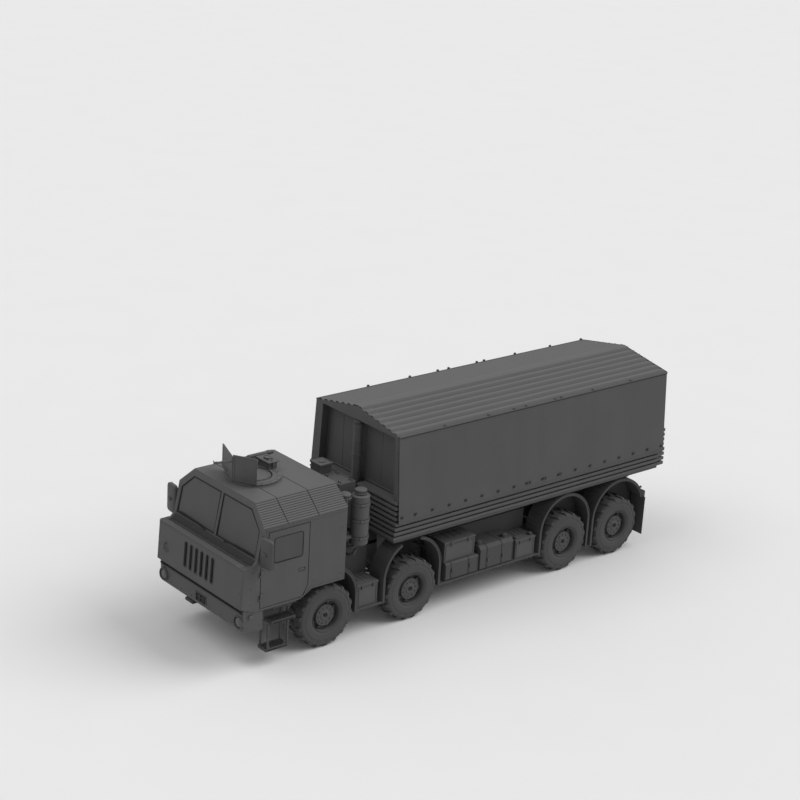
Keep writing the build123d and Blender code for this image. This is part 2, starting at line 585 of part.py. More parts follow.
# doors, each as thick as the cab's side
for hand, sign in SIDES:
    low = CAB_HALF - CAB_WALL if sign > 0 else -CAB_HALF
    with BuildPart() as door:
        with BuildSketch(side(low)):
            outline(DOOR_EDGE)
            with Locations(((WINDOW_Y[0] + WINDOW_Y[1]) / 2, (WINDOW_Z[0] + WINDOW_Z[1]) / 2)):
                RectangleRounded(WINDOW_Y[1] - WINDOW_Y[0], WINDOW_Z[1] - WINDOW_Z[0], WINDOW_RADIUS, mode=Mode.SUBTRACT)
        extrude(amount=CAB_WALL)
        hinge = (sign * DOOR_HINGE[0], DOOR_HINGE[1])
        for z in (1420, 1860):
            x = tuple(sorted((sign * (CAB_HALF - 20), sign * (CAB_HALF + 30))))
            block(x, (DOOR_FRONT - 1, DOOR_FRONT + 60), (z - 24, z + 46))
            rod((*hinge, z - 24), (*hinge, z + 46), 14)
            rod((*hinge, z - 60), (*hinge, z + 60), DOOR_PIN + RUN, Mode.SUBTRACT)
        x = tuple(sorted((sign * (CAB_HALF + 1), sign * (CAB_HALF - 25))))
        block(x, HANDLE_Y, HANDLE_Z, Mode.SUBTRACT)
        x = tuple(sorted((sign * (CAB_HALF - 14), sign * (CAB_HALF - 2))))
        block(x, (HANDLE_Y[0] - 1, HANDLE_Y[1] + 1), (HANDLE_Z[0] + 18, HANDLE_Z[1] - 18))
    save(door.part, f"door_{hand}")
    with BuildPart() as glass:
        with BuildSketch(side(low + (CAB_WALL - 23 if sign > 0 else 3))):
            with Locations(((WINDOW_Y[0] + WINDOW_Y[1]) / 2, (WINDOW_Z[0] + WINDOW_Z[1]) / 2)):
                RectangleRounded(WINDOW_Y[1] - WINDOW_Y[0] - 2 * FIT, WINDOW_Z[1] - WINDOW_Z[0] - 2 * FIT, WINDOW_RADIUS)
        extrude(amount=20)
    save(glass.part, f"door_glass_{hand}")

def panel_under(y):
    """Height of the front panel's underside at y, falling towards the cab."""
    return PANEL_FOOT + (RAIL_TOP + 4 - PANEL_FOOT) * (y - FRONT) / (CAB_FRONT - FRONT)


# proud front panel: a shell open towards the cab, with upright slots
with BuildPart() as front_panel:
    with BuildSketch(side(-PANEL_HALF)):
        outline([(PANEL_TOP_Y, PANEL_TOP), (FRONT, PANEL_FOOT), (CAB_FRONT, panel_under(CAB_FRONT)), (CAB_FRONT, PANEL_TOP)])
    extrude(amount=2 * PANEL_HALF)
    chamfer(front_panel.edges().filter_by(GeomType.LINE).filter_by(
        lambda e: abs(abs(e.center().X) - PANEL_HALF) < 1 and e.center().Y < PANEL_TOP_Y + 5), length=30)
    with BuildSketch(side(-PANEL_HALF + PANEL_WALL)):
        outline([(PANEL_TOP_Y + PANEL_WALL, PANEL_TOP - PANEL_WALL), (FRONT + PANEL_WALL, panel_under(FRONT) + 15),
                 (CAB_FRONT + 1, panel_under(CAB_FRONT) + 30), (CAB_FRONT + 1, PANEL_TOP - PANEL_WALL)])
    extrude(amount=2 * (PANEL_HALF - PANEL_WALL), mode=Mode.SUBTRACT)
    block((-CAB_HALF + 90, CAB_HALF - 90), (CAB_FRONT - LEDGE_GAP, CAB_FRONT + 1), (PANEL_TOP - PANEL_WALL - 1, PANEL_TOP + 1), Mode.SUBTRACT)
    for slot in range(SLOT_COUNT):
        x = (slot - (SLOT_COUNT - 1) / 2) * SLOT_PITCH
        with BuildSketch(station(CAB_FRONT)):
            with Locations((x, SLOT_MID_Z)):
                SlotOverall(SLOT_SIZE[1], SLOT_SIZE[0], rotation=90)
        extrude(amount=400, mode=Mode.SUBTRACT)
save(front_panel.part, "front_panel")

with BuildPart() as bumper:
    with BuildSketch(side(-CAB_HALF)):
        outline([(BUMPER_FRONT - 8, panel_under(BUMPER_FRONT - 8) - FIT), (BUMPER_FRONT, BUMPER_Z[0] + 60), (BUMPER_FRONT + 40, BUMPER_Z[0]),
                 (BUMPER_FRONT + 400, BUMPER_Z[0] - 10), (BUMPER_FRONT + 400, SILL_Z - 5),
                 (CAB_FRONT - 2, SILL_Z - 5), (CAB_FRONT - 2, panel_under(CAB_FRONT - 2) - FIT)])
    extrude(amount=2 * CAB_HALF)
    block((-CAB_HALF + 60, CAB_HALF - 60), (RAIL_FRONT, BUMPER_FRONT + 401), (BUMPER_Z[0] - 20, RAIL_TOP + 2), Mode.SUBTRACT)
    block((-150, 150), (BUMPER_FRONT - 10, BUMPER_FRONT + 70), (890, 1040), Mode.SUBTRACT)
    for sign in (1, -1):
        rod((sign * LAMP_X, BUMPER_FRONT - 20, LAMP_Z), (sign * LAMP_X, BUMPER_FRONT + 60, LAMP_Z), LAMP_RADIUS, Mode.SUBTRACT)
save(bumper.part, "bumper")

with BuildPart() as lamps:
    for sign in (1, -1):
        rod((sign * LAMP_X, BUMPER_FRONT - 15, LAMP_Z), (sign * LAMP_X, BUMPER_FRONT + 60, LAMP_Z), LAMP_RADIUS - FIT)
        x = tuple(sorted((sign * 720, sign * 980)))
        block(x, (RAIL_REAR + 60, RAIL_REAR + 110), (945, 1045))
        x = tuple(sorted((sign * (CAB_HALF + 0), sign * (CAB_HALF + 40))))
        block(x, (BUMPER_FRONT + 90, BUMPER_FRONT + 170), (1080, 1130))
save(lamps.part, "lamps")

# mirrors on the windscreen pillars, outer edges swept back
with BuildPart() as mirrors:
    for sign in (1, -1):
        middle = (sign * MIRROR_AT[0], MIRROR_AT[1], MIRROR_AT[2])
        across = (cos(radians(MIRROR_SWEEP)), sign * sin(radians(MIRROR_SWEEP)), 0)
        forward = (sign * sin(radians(MIRROR_SWEEP)), -cos(radians(MIRROR_SWEEP)), 0)
        with BuildSketch(Plane(origin=middle, x_dir=across, z_dir=forward)):
            RectangleRounded(MIRROR_SIZE[0], MIRROR_SIZE[2], 60)
        extrude(amount=MIRROR_SIZE[1] / 2, both=True)
        for y, z in MIRROR_ARMS:
            reach = MIRROR_AT[0] + (y - MIRROR_AT[1]) / tan(radians(MIRROR_SWEEP))
            rod((sign * CAB_HALF, y, z), (sign * reach, y, z), 14)
save(mirrors.part, "mirrors")

# cab steps: upper and lower treads in a hanging frame
with BuildPart() as cab_steps:
    upper, lower = STEPS
    for sign in (1, -1):
        full = tuple(sorted((sign * STEP_X[0], sign * STEP_X[1])))
        inner = tuple(sorted((sign * STEP_X[0], sign * (STEP_X[0] + STEP_BAR))))
        outer = tuple(sorted((sign * (STEP_X[1] - STEP_BAR), sign * STEP_X[1])))
        for low_y, high_y, top in STEPS:
            block(full, (low_y, high_y), (top - TREAD, top))
        for y in (lower[0] + STEP_BAR, lower[1] - STEP_BAR):
            block(inner, (y, y + STEP_BAR), (lower[2] - 1, SILL_Z - 1))
            block(outer, (y, y + STEP_BAR), (lower[2] - 1, upper[2] - TREAD + 1))
        block(full, upper[:2], (SILL_Z - 45, SILL_Z - 1))
        block(inner, (upper[1] - STEP_BAR, upper[1]), (upper[2] - 1, SILL_Z - 40))
save(cab_steps.part, "cab_steps")

# ---------------------------------------------------------------- cab interior
SEAT_X = CAB_HALF - 460
with BuildPart() as seats:
    floor = CAB_FLOOR + CAB_FLOOR_THICK
    for x in (-SEAT_X, SEAT_X):
        block((x - 260, x + 260), (A1 - 620, A1 - 100), (floor + 330, floor + 470))
        block((x - 250, x + 250), (A1 - 100, A1 + 30), (floor + 330, floor + 1150))
        block((x - 180, x + 180), (A1 - 560, A1 - 120), (floor, floor + 330))
save(seats.part, "seats")

with BuildPart() as dashboard:
    floor = CAB_FLOOR + CAB_FLOOR_THICK
    with BuildSketch(side(-CAB_HALF + CAB_WALL)):
        outline([(CAB_FRONT + CAB_WALL, floor + 350), (CAB_FRONT + CAB_WALL, floor + 660),
                 (CAB_FRONT + 330, floor + 660), (CAB_FRONT + 420, floor + 600), (CAB_FRONT + 300, floor + 350)])
    extrude(amount=2 * (CAB_HALF - CAB_WALL))
    hub = Vector(SEAT_X, CAB_FRONT + 560, CAB_FLOOR + CAB_FLOOR_THICK + 760)
    lean = Vector(0, -0.5, -0.8)
    foot = hub + lean * 320
    tilted = Plane(origin=hub, x_dir=(1, 0, 0), z_dir=lean)
    with Locations(tilted):
        Torus(220, 16)
        Box(420, 40, 20)
    rod(tuple(hub), tuple(foot), 30)
save(dashboard.part, "dashboard")

# ---------------------------------------------------------------- mudguards
GUARD_X = (780, 1190)
GUARD_THICK = 24
GUARD_LIP = (8, 52)          # outer lip: thickness and depth
# lowest x, width, depth below the outer arc
GUARD_STRIPS = (
    (GUARD_X[0], GUARD_X[1] - GUARD_X[0], GUARD_THICK),
    (-GUARD_X[1], GUARD_X[1] - GUARD_X[0], GUARD_THICK),
    (GUARD_X[1] - GUARD_LIP[0], *GUARD_LIP),
    (-GUARD_X[1], *GUARD_LIP),
)
STAY_Z = 1130
# centre y, centre z, outer radius, start and end angle from the rear horizon, leg feet
GUARDS = [
    # (y, z, radius, from, to, front foot z or None, rear foot z or None)
    (A1, 850, 690, 0, 62, None, 470),
    (A2 + 3, 950, 690, 0, 77, None, 500),
    (A2 + 3, 950, 690, 115, 180, 500, None),
    (A3 - 15, 945, 678, 0, 180, 460, 330),
    (A4 + 20, 880, 730, 17, 180, 330, None),
]
with BuildPart() as mudguards:
    for y, z, radius, start, end, front_foot, rear_foot in GUARDS:
        for low, wide, deep in GUARD_STRIPS:
            inner = radius - deep
            with BuildSketch(side(low)):
                with BuildLine():
                    outer_arc = CenterArc((y, z), radius, start, end - start)
                    inner_arc = CenterArc((y, z), inner, start, end - start)
                    for arc_out, arc_in, foot, sign in (
                        (outer_arc @ 0, inner_arc @ 0, rear_foot, 1), (outer_arc @ 1, inner_arc @ 1, front_foot, -1)):
                        if foot is None:
                            Line(arc_out, arc_in)
                        else:
                            Polyline(arc_out, (arc_out.X, foot), (arc_in.X, foot), arc_in)
                make_face()
            extrude(amount=wide)
    # stays from the rails to each leg
    for y, z, radius, start, end, front_foot, rear_foot in GUARDS:
        reach = ((radius - GUARD_THICK / 2) ** 2 - (STAY_Z - z) ** 2) ** 0.5
        ends = [reach] * (start < 20) + [-reach] * (end == 180)
        for sign in (1, -1):
            for run in ends:
                rod((sign * RAIL_OUT, y + run, STAY_Z), (sign * (GUARD_X[0] + 4), y + run, STAY_Z), 20)
    for sign in (1, -1):
        x = tuple(sorted((sign * GUARD_X[0], sign * GUARD_X[1])))
        block(x, (A4 + 705, A4 + 757), (1080, 1094))
save(mudguards.part, "mudguards")

with BuildPart() as mudflaps:
    for sign in (1, -1):
        x = tuple(sorted((sign * 860, sign * 1240)))
        block(x, (A4 + 740, A4 + 752), (270, 1080))
save(mudflaps.part, "mudflaps")

# ---------------------------------------------------------------- side sills, boxes, tanks
BOX_IN = RAIL_OUT + 50
# low y, high y, low z, high z, outer face
BOXES = [
    (A1 + 720, A1 + 1180, 540, 990, 1150),
    (A1 + 2790, A1 + 3540, 904, 1310, 1120),
    (A1 + 4590, A1 + 5090, 540, 940, 1165),
]
LID_PROUD = 8
LID_DEEP = 36
with BuildPart() as stowage_boxes:
    for low_y, high_y, low_z, high_z, face in BOXES:
        for sign in (1, -1):
            x = tuple(sorted((sign * BOX_IN, sign * face)))
            block(x, (low_y, high_y), (low_z, high_z))
            x = tuple(sorted((sign * BOX_IN, sign * (face + LID_PROUD))))
            block(x, (low_y - LID_PROUD, high_y + LID_PROUD), (high_z - LID_DEEP, high_z))
save(stowage_boxes.part, "stowage_boxes")

TANK_OUT = 1175
# low y, high y, top z, corner cut, strap y, cap y
TANKS = [
    (A1 + 2800, A1 + 3620, 897, 30, (A1 + 2960, A1 + 3400), ()),
    (A1 + 3660, A1 + 4510, 1030, 60, (A1 + 3860, A1 + 4240), (A1 + 3740, A1 + 4385)),
]
with BuildPart() as tanks:
    for low_y, high_y, top, cut, straps, caps in TANKS:
        for sign in (1, -1):
            for proud, from_y, to_y in [(0, low_y, high_y)] + [(7, y - 25, y + 25) for y in straps]:
                out_x, high = TANK_OUT + proud, top + proud
                with BuildSketch(station(to_y)):
                    outline([(sign * BOX_IN, DECK_Z[1]), (sign * BOX_IN, high), (sign * (out_x - cut), high),
                             (sign * out_x, high - cut), (sign * out_x, DECK_Z[1] + 30), (sign * (out_x - 30), DECK_Z[1])])
                extrude(amount=to_y - from_y)
            for y in caps:
                rod((sign * (TANK_OUT - 150), y, top - 1), (sign * (TANK_OUT - 150), y, top + 42), 55)
save(tanks.part, "tanks")

# ---------------------------------------------------------------- behind the cab
UNIT_X = (-180, 680)
UNIT_Y = (A1 + 565, A1 + 935)
with BuildPart() as cooling_unit:
    block(UNIT_X, UNIT_Y, (RAIL_TOP, 2800))
    block((-155, 105), (A1 + 572, A1 + 818), (2799, 2960))
    block((-185, 135), (A1 + 555, A1 + 835), (2959, 2990))
save(cooling_unit.part, "cooling_unit")

FILTER = (CAB_HALF - 280, A1 + 800)
FILTER_RADIUS = 168
INTAKE = (FILTER[0], A1 + 440)
FILTER_BANDS = (1880, 2210, 2520)
with BuildPart() as air_cleaner:
    rod((*FILTER, 1780), (*FILTER, 2680), FILTER_RADIUS)
    for z in FILTER_BANDS:
        rod((*FILTER, z), (*FILTER, z + 40), FILTER_RADIUS + 6)
    rod((*FILTER, 2679), (*FILTER, 2730), 70)
    rod((*FILTER, 2729), (*FILTER, 2790), 112)
    block((UNIT_X[1], FILTER[0] - 150), (A1 + 760, A1 + 840), (1900, 1960))
    rod((*INTAKE, 1450), (*INTAKE, 2700), 60)
    rod((*INTAKE, 2699), (*INTAKE, 2780), 110)
    block((UNIT_X[1], INTAKE[0]), (A1 + 570, A1 + 610), (1900, 1960))
    block((INTAKE[0] - 30, INTAKE[0] + 30), (A1 + 450, A1 + 610), (1900, 1960))
save(air_cleaner.part, "air_cleaner")

# ---------------------------------------------------------------- load body
SLOT_HALF = 140              # recess in the body's front for the hoist
SLOT_DEPTH = 175
INNER_FRONT = BODY_FRONT + 210
RIBS = [RIB_TOP - RIB_PITCH * n for n in range(RIB_COUNT)]
SIDE_RIBS = RIBS[RIB_COUNT // 2:]
GATE_FRONT = BODY_REAR - 60
GATE_HINGE = (BODY_REAR + 30, TUB_TOP + 32)
GATE_EAR = (1130, 1180)
FRONT_RIB_HALF = 1272
VALANCE = (690, 702)         # lengthwise side plates under the floor
VALANCE_Z = SUBFRAME_TOP + 16


def rib_half(z):
    """Half width of the side rib at height z: the side steps in towards its foot."""
    return 1257 + (z - RIBS[-1]) * 0.15


with BuildPart() as body_tub:
    with BuildSketch(station(GATE_FRONT - CLEAR)):
        outline([(-WALL_FOOT, FLOOR_Z[0]), (-WALL_TOP, TUB_TOP), (WALL_TOP, TUB_TOP), (WALL_FOOT, FLOOR_Z[0])])
    extrude(amount=GATE_FRONT - CLEAR - BODY_FRONT)
    for z in SIDE_RIBS:
        half = rib_half(z)
        with BuildSketch(Plane.XY.offset(z)):
            with Locations((0, (BODY_FRONT - RIB_OUT + GATE_FRONT - CLEAR) / 2)):
                Rectangle(2 * half, GATE_FRONT - CLEAR - BODY_FRONT + RIB_OUT)
        extrude(amount=RIB_HEIGHT / 2, both=True, taper=RIB_TAPER)
    for z in RIBS[:RIB_COUNT // 2]:
        with BuildSketch(Plane.XY.offset(z)):
            with Locations((0, BODY_FRONT + 15 - RIB_OUT / 2)):
                Rectangle(2 * FRONT_RIB_HALF, RIB_OUT + 30)
        extrude(amount=RIB_HEIGHT / 2, both=True, taper=RIB_TAPER)
    block((-WALL_FOOT + WALL_THICK, WALL_FOOT - WALL_THICK), (INNER_FRONT, GATE_FRONT + 1), (FLOOR_Z[1], RIB_TOP + 100), Mode.SUBTRACT)
    block((-SLOT_HALF, SLOT_HALF), (BODY_FRONT - RIB_OUT - 10, BODY_FRONT + SLOT_DEPTH), (FLOOR_Z[0] - 10, RIB_TOP + 100), Mode.SUBTRACT)
    for sign in (1, -1):
        x = tuple(sorted((sign * HINGE_X[0], sign * HINGE_X[1])))
        block(x, (BODY_FRONT + 10, HINGE_Y + 60), (SUBFRAME_TOP + CLEAR, FLOOR_Z[0] + 1))
        bearing = (sign * SLOT_HALF, HOIST_Y, TRUNNION_Z)
        rod(bearing, (sign * (SLOT_HALF + 70), HOIST_Y, TRUNNION_Z), 60)
        rod(bearing, (sign * (SLOT_HALF + 60), HOIST_Y, TRUNNION_Z), TRUNNION_RADIUS + RUN, Mode.SUBTRACT)
        rod((x[0], HINGE_Y, HINGE_Z), (x[1], HINGE_Y, HINGE_Z), 70)
        rod((x[0] - 1, HINGE_Y, HINGE_Z), (x[1] + 1, HINGE_Y, HINGE_Z), HINGE_RADIUS + RUN, Mode.SUBTRACT)
        x = tuple(sorted((sign * VALANCE[0], sign * VALANCE[1])))
        block(x, (BODY_FRONT + 20, HINGE_Y + 180), (VALANCE_Z, FLOOR_Z[0] + 1))
        # tailgate hinge ears
        x = tuple(sorted((sign * GATE_EAR[0], sign * GATE_EAR[1])))
        block(x, (GATE_FRONT - 80, GATE_FRONT - CLEAR), (TUB_TOP - 1, GATE_HINGE[1] + 28))
        block(x, (GATE_FRONT - 80, GATE_HINGE[0] + 30), (TUB_TOP + CLEAR, GATE_HINGE[1] + 28))
        rod((x[0] - 1, *GATE_HINGE), (x[1] + 1, *GATE_HINGE), 15 + RUN, Mode.SUBTRACT)
    for y in (A1 + 1900, A2 + 1300, A2 + 2300, A3 - 1000, BODY_REAR - 500):
        block((-700, 700), (y - 50, y + 50), (FLOOR_Z[0] - 130, FLOOR_Z[0] + 1))
save(body_tub.part, "body_tub")

# headboard above the tub: recessed each side of the hoist, with the front gable
RECESS_Y = BODY_FRONT + 140
HEAD_BACK = RECESS_Y + 60
with BuildPart() as headboard:
    with BuildSketch(station(HEAD_BACK)):
        outline([
            (-EAVE[0] + 14 - (EAVE[1] - TUB_TOP) * 0.0711, TUB_TOP), (-EAVE[0] + 14, EAVE[1] - 12), (0, RIDGE_Z - 14),
            (EAVE[0] - 14, EAVE[1] - 12), (EAVE[0] - 14 + (EAVE[1] - TUB_TOP) * 0.0711, TUB_TOP),
        ])
    extrude(amount=HEAD_BACK - TARP_FRONT)
    with BuildSketch(station(RECESS_Y)):
        outline([(-1067, TUB_TOP - 1), (-1000, EAVE[1] - 46), (1095, EAVE[1] - 46), (1150, TUB_TOP - 1)])
    extrude(amount=300, mode=Mode.SUBTRACT)
save(headboard.part, "headboard")

# tarpaulin: one shell from the headboard to the rear gable, open below, ridged roof
def tarp_section(inset):
    """Half cross-section from the foot to the ridge, x and z."""
    foot = (TARP_FOOT[0] - inset, TARP_FOOT[1])
    eave = (EAVE[0] - inset, EAVE[1] - inset * 0.4)
    ridge = (0, RIDGE_Z - inset)
    chain = [foot, eave]
    if inset == 0:
        run = ((ridge[0] - eave[0]) / TARP_RIDGES, (ridge[1] - eave[1]) / TARP_RIDGES)
        for n in range(1, TARP_RIDGES):
            x, z = eave[0] + run[0] * n, eave[1] + run[1] * n
            chain += [(x + 18, z - 3 + 12), (x - 18, z + 3 - 6)]
    return chain + [ridge]


with BuildPart() as tarpaulin:
    with BuildSketch(station(BODY_REAR)):
        outline(tarp_section(0) + [(0, TARP_FOOT[1])])
        mirror(about=Plane.YZ)
    extrude(amount=BODY_REAR - TARP_FRONT)
    with BuildSketch(station(BODY_REAR - TARP_THICK)):
        outline(tarp_section(TARP_THICK) + [(0, TARP_FOOT[1])])
        mirror(about=Plane.YZ)
    extrude(amount=BODY_REAR - TARP_FRONT, mode=Mode.SUBTRACT)
    block((-1400, 1400), (BODY_REAR - TARP_THICK - 1, BODY_REAR + 1), (TARP_FOOT[1] - 1, TUB_TOP + 80), Mode.SUBTRACT)
save(tarpaulin.part, "tarpaulin")

# hoops that carry the tarpaulin
HOOP_COUNT = 5
HOOP = 40
with BuildPart() as tarp_hoops:
    for n in range(HOOP_COUNT):
        y = INNER_FRONT + 900 + n * (GATE_FRONT - 200 - INNER_FRONT - 900) / (HOOP_COUNT - 1)
        with BuildSketch(station(y)):
            with BuildLine():
                gap = TARP_THICK + FIT
                foot_x = WALL_TOP - 30
                Polyline((-foot_x, TUB_TOP), (-EAVE[0] + gap + 6, EAVE[1] - gap - 20), (0, RIDGE_Z - gap),
                         (EAVE[0] - gap - 6, EAVE[1] - gap - 20), (foot_x, TUB_TOP),
                         (foot_x - HOOP, TUB_TOP), (EAVE[0] - gap - HOOP - 6, EAVE[1] - gap - HOOP - 12),
                         (0, RIDGE_Z - gap - HOOP), (-EAVE[0] + gap + HOOP + 6, EAVE[1] - gap - HOOP - 12),
                         (-foot_x + HOOP, TUB_TOP), close=True)
            make_face()
        extrude(amount=HOOP)
    pole = RIDGE_Z - TARP_THICK - FIT - HOOP
    block((-HOOP / 2, HOOP / 2), (HEAD_BACK, GATE_FRONT - 160), (pole - HOOP, pole + 1))
save(tarp_hoops.part, "tarp_hoops")

# tailgate, hung from its top edge
with BuildPart() as tailgate:
    with BuildSketch(station(BODY_REAR)):
        outline([(-WALL_FOOT, FLOOR_Z[0]), (-WALL_TOP, TUB_TOP - 10), (WALL_TOP, TUB_TOP - 10), (WALL_FOOT, FLOOR_Z[0])])
    extrude(amount=BODY_REAR - GATE_FRONT)
    for z in RIBS:
        half = min(rib_half(z), WALL_TOP + 30) if z in SIDE_RIBS else WALL_TOP
        block((-half, half), (GATE_FRONT + 5, REAR), (z - RIB_HEIGHT / 2, z + RIB_HEIGHT / 2))
    for sign in (1, -1):
        x = tuple(sorted((sign * (GATE_EAR[0] - CLEAR), sign * (GATE_EAR[1] + CLEAR))))
        block(x, (GATE_FRONT - 1, REAR + 1), (TUB_TOP - 45, TUB_TOP + 1), Mode.SUBTRACT)
        x = tuple(sorted((sign * (GATE_EAR[1] + CLEAR), sign * 1230)))
        block(x, (BODY_REAR - 20, GATE_HINGE[0] + 30), (TUB_TOP - 80, GATE_HINGE[1] + 25))
        rod((sign * (GATE_EAR[0] - 20), *GATE_HINGE), (sign * 1230, *GATE_HINGE), 15)
save(tailgate.part, "tailgate")

# ---------------------------------------------------------------- hoist
with BuildPart() as hoist_tube:
    rod((0, HOIST_Y, TUBE_Z[0]), (0, HOIST_Y, TUBE_Z[1]), TUBE_RADII[0])
    for z, tall in ((TRUNNION_Z - 50, 100), (2960, 60), (TUBE_Z[1] - 120, 60)):
        rod((0, HOIST_Y, z), (0, HOIST_Y, z + tall), TUBE_RADII[0] + 12)
    rod((-SLOT_HALF - 50, HOIST_Y, TRUNNION_Z), (SLOT_HALF + 50, HOIST_Y, TRUNNION_Z), TRUNNION_RADIUS)
    rod((0, HOIST_Y, TUBE_Z[0] - 1), (0, HOIST_Y, TUBE_Z[1] - 30), TUBE_RADII[1], Mode.SUBTRACT)
save(hoist_tube.part, "hoist_tube")

for stage in (1, 2, 3):
    outer = TUBE_RADII[1] - (stage - 1) * (HOIST_WALL + FIT) - FIT
    top = TUBE_Z[1] - 30 - stage * 30
    foot = TUBE_Z[0] - stage * STAGE_STEP
    with BuildPart() as hoist_stage:
        if stage < 3:
            rod((0, HOIST_Y, foot), (0, HOIST_Y, top), outer)
            rod((0, HOIST_Y, foot - 1), (0, HOIST_Y, top + 1), outer - HOIST_WALL, Mode.SUBTRACT)
        else:
            rod((0, HOIST_Y, EYE_Z), (0, HOIST_Y, top), outer)
            rod((-34, HOIST_Y, EYE_Z), (34, HOIST_Y, EYE_Z), 58)
            for flank in ((-100, -34), (34, 100)):
                block(flank, (HOIST_Y - 70, HOIST_Y + 70), (EYE_Z - 70, EYE_Z + 130), Mode.SUBTRACT)
            rod((-35, HOIST_Y, EYE_Z), (35, HOIST_Y, EYE_Z), 25, Mode.SUBTRACT)
    save(hoist_stage.part, f"hoist_stage_{stage}")

# ---------------------------------------------------------------- roof ring, shield, hatch
APEX = (30, A1 - 1290)
# shield plates: far end, low z, high z
PLATES = [((-600, A1 - 1060), 3065, 3505), ((415, A1 - 1055), 3065, 3550)]
LID_RADIUS = 315
LID_Z = (RING_Z[0] + CLEAR, RING_Z[0] + CLEAR + 24)
LID_HINGE = (HATCH[0] + 316, RING_Z[0] + 24)
with BuildPart() as roof_shield:
    with BuildSketch(Plane.XY.offset(RING_Z[0] + FIT)):
        with Locations(HATCH):
            Circle(RING_RADII[1])
            Circle(RING_RADII[0], mode=Mode.SUBTRACT)
    extrude(amount=RING_Z[1] - RING_Z[0] - FIT)
    for far, low, high in PLATES:
        run = Vector(far[0] - APEX[0], far[1] - APEX[1])
        turn = degrees(atan2(run.Y, run.X))
        mid = (APEX[0] + run.X / 2, APEX[1] + run.Y / 2, (low + high) / 2)
        with Locations(Location(mid, (0, 0, turn))):
            Box(run.length, 14, high - low)
    with BuildSketch(Plane.XY.offset(RING_Z[1] - 1)):
        Polygon(APEX, PLATES[0][0], (-380, A1 - 1010), (240, A1 - 1010), PLATES[1][0], align=None)
        with Locations(HATCH):
            Circle(RING_RADII[0] + 5, mode=Mode.SUBTRACT)
    extrude(amount=3072 - RING_Z[1] + 1)
    rod((30, A1 - 1280, 3437), (-60, A1 - 1630, 3437), 18)
    # lid hinge: ears on the ring and a pin through the lid's ears
    for y in (-35, 35):
        block((LID_HINGE[0] - 12, HATCH[0] + RING_RADII[0] + 5), (HATCH[1] + y - 15, HATCH[1] + y + 15),
              (LID_HINGE[1] - 12, LID_HINGE[1] + 12))
    rod((LID_HINGE[0], HATCH[1] - 95, LID_HINGE[1]), (LID_HINGE[0], HATCH[1] + 95, LID_HINGE[1]), 7)
save(roof_shield.part, "roof_shield")

with BuildPart() as hatch_lid:
    rod((*HATCH, LID_Z[0]), (*HATCH, LID_Z[1]), LID_RADIUS)
    block((LID_HINGE[0] - 20, LID_HINGE[0] + 40), (HATCH[1] - 56, HATCH[1] + 56), (LID_Z[0] - 1, LID_Z[1] + 1), Mode.SUBTRACT)
    for y in (-75, 75):
        block((LID_HINGE[0] - 60, LID_HINGE[0] + 10), (HATCH[1] + y - 12, HATCH[1] + y + 12), (LID_HINGE[1] - 12, LID_HINGE[1] + 12))
    rod((LID_HINGE[0], HATCH[1] - 96, LID_HINGE[1]), (LID_HINGE[0], HATCH[1] + 96, LID_HINGE[1]), 7 + RUN, Mode.SUBTRACT)
save(hatch_lid.part, "hatch_lid")

with BuildPart() as roof_box:
    block((-400, -70), (A1 - 440, A1 - 270), (RING_Z[1], 3180))
    block((-415, -55), (A1 - 455, A1 - 255), (3179, 3195))
    block((-470, -399), (A1 - 380, A1 - 340), (3120, 3150))
    rod((-480, A1 - 500, 3140), (-480, A1 - 150, 3140), 30)
save(roof_box.part, "roof_box")
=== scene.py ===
# %% [markdown]
# # Dressing an eight-wheeled military cargo truck
# The solids of the truck come in as a fixed frame. Each step below adds one kind of
# surface or detail to it, and says which body of the truck that detail moves with.
# Lengths are metres; +X is the truck's left side, -Y its front, +Z up.

from math import cos, hypot, pi, radians, sin

import bmesh
import bpy
from mathutils import Matrix, Vector, noise


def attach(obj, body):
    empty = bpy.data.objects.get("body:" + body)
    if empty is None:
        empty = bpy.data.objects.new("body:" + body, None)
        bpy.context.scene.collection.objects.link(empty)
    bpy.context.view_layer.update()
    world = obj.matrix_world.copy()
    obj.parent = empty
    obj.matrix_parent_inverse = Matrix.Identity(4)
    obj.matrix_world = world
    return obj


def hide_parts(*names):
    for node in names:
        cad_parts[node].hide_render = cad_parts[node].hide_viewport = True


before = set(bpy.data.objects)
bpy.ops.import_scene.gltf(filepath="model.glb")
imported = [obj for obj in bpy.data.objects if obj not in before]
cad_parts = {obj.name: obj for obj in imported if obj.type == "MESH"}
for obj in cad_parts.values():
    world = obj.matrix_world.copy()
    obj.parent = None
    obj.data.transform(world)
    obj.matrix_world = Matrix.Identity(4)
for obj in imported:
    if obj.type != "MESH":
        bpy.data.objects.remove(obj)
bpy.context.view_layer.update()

# %% [markdown]
# ## Driving dimensions
# The four axle lines place nearly everything else. `A1` is the first axle.

# %% Axle lines and sides
A1 = -3.285
A2, A3, A4 = A1 + 1.970, A1 + 5.895, A1 + 7.350
SIDES = (("left", 1), ("right", -1))
print("axles at", [round(y, 3) for y in (A1, A2, A3, A4)])

# %% [markdown]
# ## Materials
# The whole truck wears one matt dark paint, so the materials differ in grain, sheen and
# wear rather than in hue. `paint` builds a node tree with three layers: a slow drift of
# tone, a fine speckle, and a lighter line along edges found with the Bevel node.


# %% The paint recipe
def new_material(name):
    """Empty material with its tree and shader ready to use."""
    material = bpy.data.materials.new(name)
    material.use_nodes = True
    tree = material.node_tree
    return material, tree, tree.nodes["Principled BSDF"]


def fill(tree, node, sockets):
    """Link each named input to an output, or give it a constant."""
    for key, value in sockets.items():
        if isinstance(value, bpy.types.NodeSocket):
            tree.links.new(value, node.inputs[key])
        else:
            node.inputs[key].default_value = value


